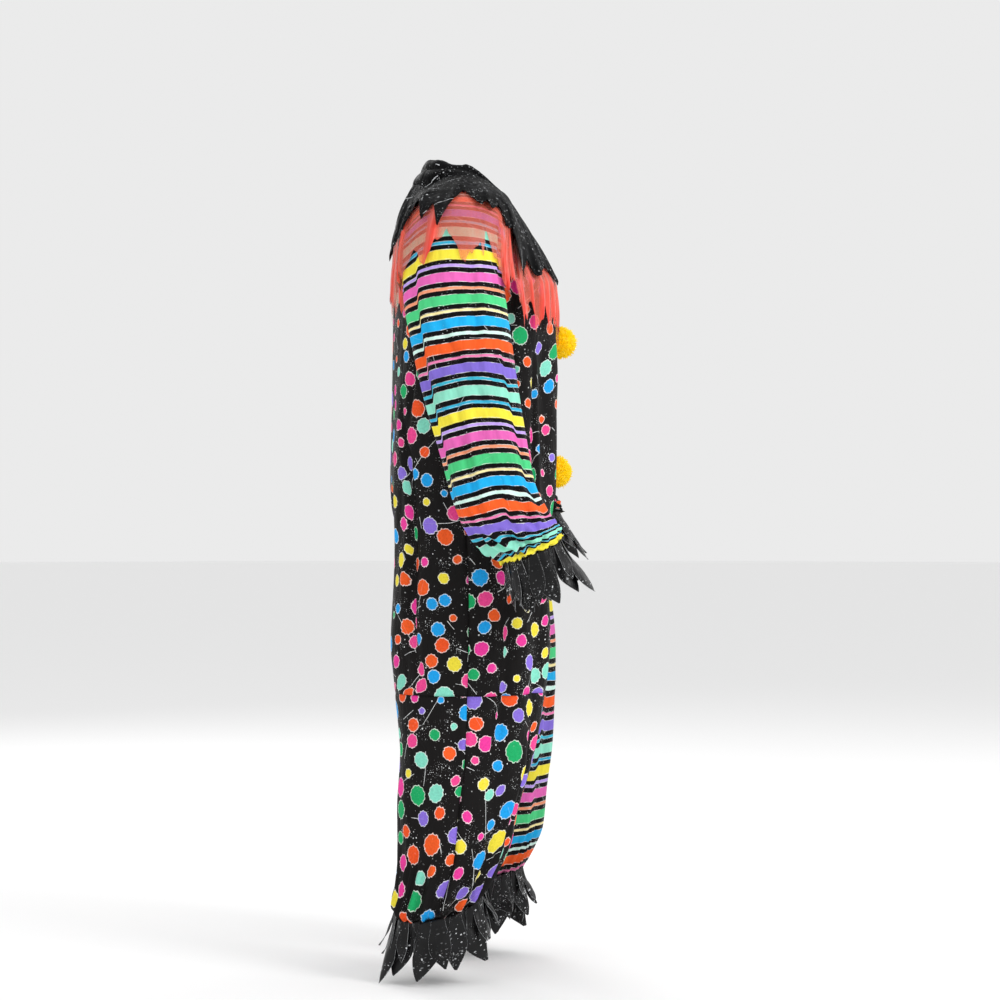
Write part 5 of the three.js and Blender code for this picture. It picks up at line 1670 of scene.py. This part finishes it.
DOTTED_CLOTH = printed_cloth("dotted cloth", DOTTED, {}, 0.9)
STRIPED_SLEEVE = printed_cloth("striped cloth of the sleeve", STRIPES, {"Start": 0.102}, 0.5)
# The body's stripes are darkened to 0.78 as painted shade of the far leg, over the whole striped half.
wider_with_painted_shade = {"Start": 0.156, "Repeat": 0.311, "Painted shade value": 0.78}
STRIPED_BODY_PAINTED_SHADE = printed_cloth("striped cloth of the body with painted shade", STRIPES, wider_with_painted_shade, 0.5)
REVERSE = cloth_reverse()
SATIN = black_satin("black satin", False, 0.025)
SATIN_WITH_EDGE_HIGHLIGHT = black_satin("black satin with painted edge highlight", True, 0.2)
ORGANZA, FLUFF = red_organza(), yellow_fluff()
print("materials:", [m.name for m in bpy.data.materials])

# %% [markdown]
# ## Sewing it together
# Each piece now takes the place of its CAD node and rides on the one body that the suit is.


# %% Sewing it together
def finish_piece(piece, node, slot, flat=None, held="draped", **more):
    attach(piece, "root")
    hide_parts(node)


FLATS = dict(body_front=(0.40, 0.80), body_back=(0.39, 0.82), leg_front=(0.36, 0.40), leg_back=(0.37, 0.40))
SIDES = ((-1, "right"), (1, "left"))
SLOTS = ("dotted_cloth", "striped_cloth")
BODY_CLOTHS, SLEEVE_CLOTHS = (DOTTED_CLOTH, STRIPED_BODY_PAINTED_SHADE), (STRIPED_SLEEVE, DOTTED_CLOTH)  # right, left
under_collar = []
for half, (side, word) in enumerate(SIDES):
    cloths = [BODY_CLOTHS[half], REVERSE]
    for back, facing in ((False, "front"), (True, "back")):
        points, uv, normals = body_panel(side, back)
        panel = cloth_from_grid(f"{facing}_panel_{word}", points, uv, normals, cloths)
        finish_piece(panel, f"body_{facing}_{word}", SLOTS[half], FLATS["body_" + facing])
        under_collar.append((points, False))
        points, uv, normals = leg_panel(side, back)
        panel = cloth_from_grid(f"lower_leg_{facing}_{word}", points, uv, normals, cloths)
        finish_piece(panel, f"leg_{facing}_{word}", SLOTS[half], FLATS["leg_" + facing])
    points, uv, normals = sleeve(side)
    cloths = [SLEEVE_CLOTHS[half], REVERSE]
    arm = cloth_from_grid(f"sleeve_cloth_{word}", points, uv, normals, cloths, round_it=SLEEVE_GIRTH)
    finish_piece(arm, f"sleeve_{word}", SLOTS[1 - half], (0.50, 0.68), "gathered")
    under_collar.append((points, True))
print("panels and sleeves:", len(under_collar), "pieces carry the collar")

# %% Collars over the shoulders
drape = drape_surface(under_collar)
cut = dict(base=2.6, sharpness=1.25, tears=12, rows=48, columns=1000, roll=False)
points, uv, normals = collar(drape, RED_TEETH, RED_FOLDS, **cut)
girth = 2 * np.pi * COLLAR_MIDDLE
red = cloth_from_grid("sheer_collar_organza", points, uv, normals, [ORGANZA, ORGANZA], 0.4, round_it=girth)
share = uv[..., 1] / uv[-1:, :, 1]
dense = radial_folds(uv[..., 0] / COLLAR_MIDDLE, share, RED_FOLDS) / 9
give_values(red, "dense", dense)
finish_piece(red, "collar_sheer", "red_organza", (0.90, 0.85), "draped", area=0.42)
drape = drape_surface(under_collar + [(points, True)])
cut = dict(base=3.2, sharpness=1.15, tears=3.5, rows=58, columns=820, roll=True)
points, uv, normals = collar(drape, BLACK_TEETH, BLACK_FOLDS, **cut)
barely = 0.001  # a flat map already meets itself, so it is moved on by next to nothing
black = cloth_from_grid("top_collar_satin", points, uv, normals, [SATIN, SATIN], 0.8, round_it=barely)
finish_piece(black, "collar_black", "black_satin", (0.66, 0.60), "draped", area=0.26)
print("collars:", black.dimensions[:], red.dimensions[:])

# %% Fringes and pom-poms
WRIST_LEAVES, ANKLE_LEAVES = 100, 106  # lengths
WRIST_LAYERS = [(13, 1.5, 1.05), (15, 4.5, 0.8)]  # leaves, lift, width
ANKLE_LAYERS = [(15, 1.5, 1.1), (18, 4.5, 0.85)]
DOWN = np.array([0.0, 0.0, -1.0])


def add_cuff(side, word):
    """Leaves on the elastic of the wrist, which hangs forward with the arm; those in front stand out more."""
    down = unit(np.array([0, -0.4 if side > 0 else -0.24, -0.97]))
    in_front = 10 if side > 0 else 27

    def ring(t):
        return sleeve_point(side, SLEEVE_ROWS, ring_angle(t))

    def spread(t):
        return 9 + in_front * np.maximum(0, np.cos(2 * np.pi * (t - 0.25))) ** 4

    cuff = fringe(f"wrist_leaves_{word}", ring, down, WRIST_LEAVES, spread, WRIST_LAYERS, [SATIN_WITH_EDGE_HIGHLIGHT])
    finish_piece(cuff, f"cuff_fringe_{word}", "black_satin", (0.46, 0.13), "gathered")


def add_ankle(side, word):
    """Leaves on the elastic of the ankle, which stand out more in front and behind."""

    def ring(t):
        return body_point(side, (t + 0.5) % 1, ANKLE_Z)

    def spread(t):
        return 20 - 10 * np.cos(4 * np.pi * t) + 5 * np.sin(14 * np.pi * t)

    ankle = fringe(f"ankle_leaves_{word}", ring, DOWN, ANKLE_LEAVES, spread, ANKLE_LAYERS, [SATIN_WITH_EDGE_HIGHLIGHT])
    finish_piece(ankle, f"ankle_fringe_{word}", "black_satin", (0.60, 0.14), "gathered")


for side, word in SIDES:
    add_cuff(side, word)
    add_ankle(side, word)
for number in (1, 2):
    low, high = (np.array(corner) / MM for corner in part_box(f"pompom_{number}"))
    radius = (high[2] - low[2]) / 2
    centre = np.array([(low[0] + high[0]) / 2, low[1] + radius, (low[2] + high[2]) / 2])
    ball = pompom(f"yarn_ball_{number}", centre, high[1], radius, FLUFF, 40 + number)
    finish_piece(ball, f"pompom_{number}", "yellow_fluff")
print("fringes and pom-poms are on")
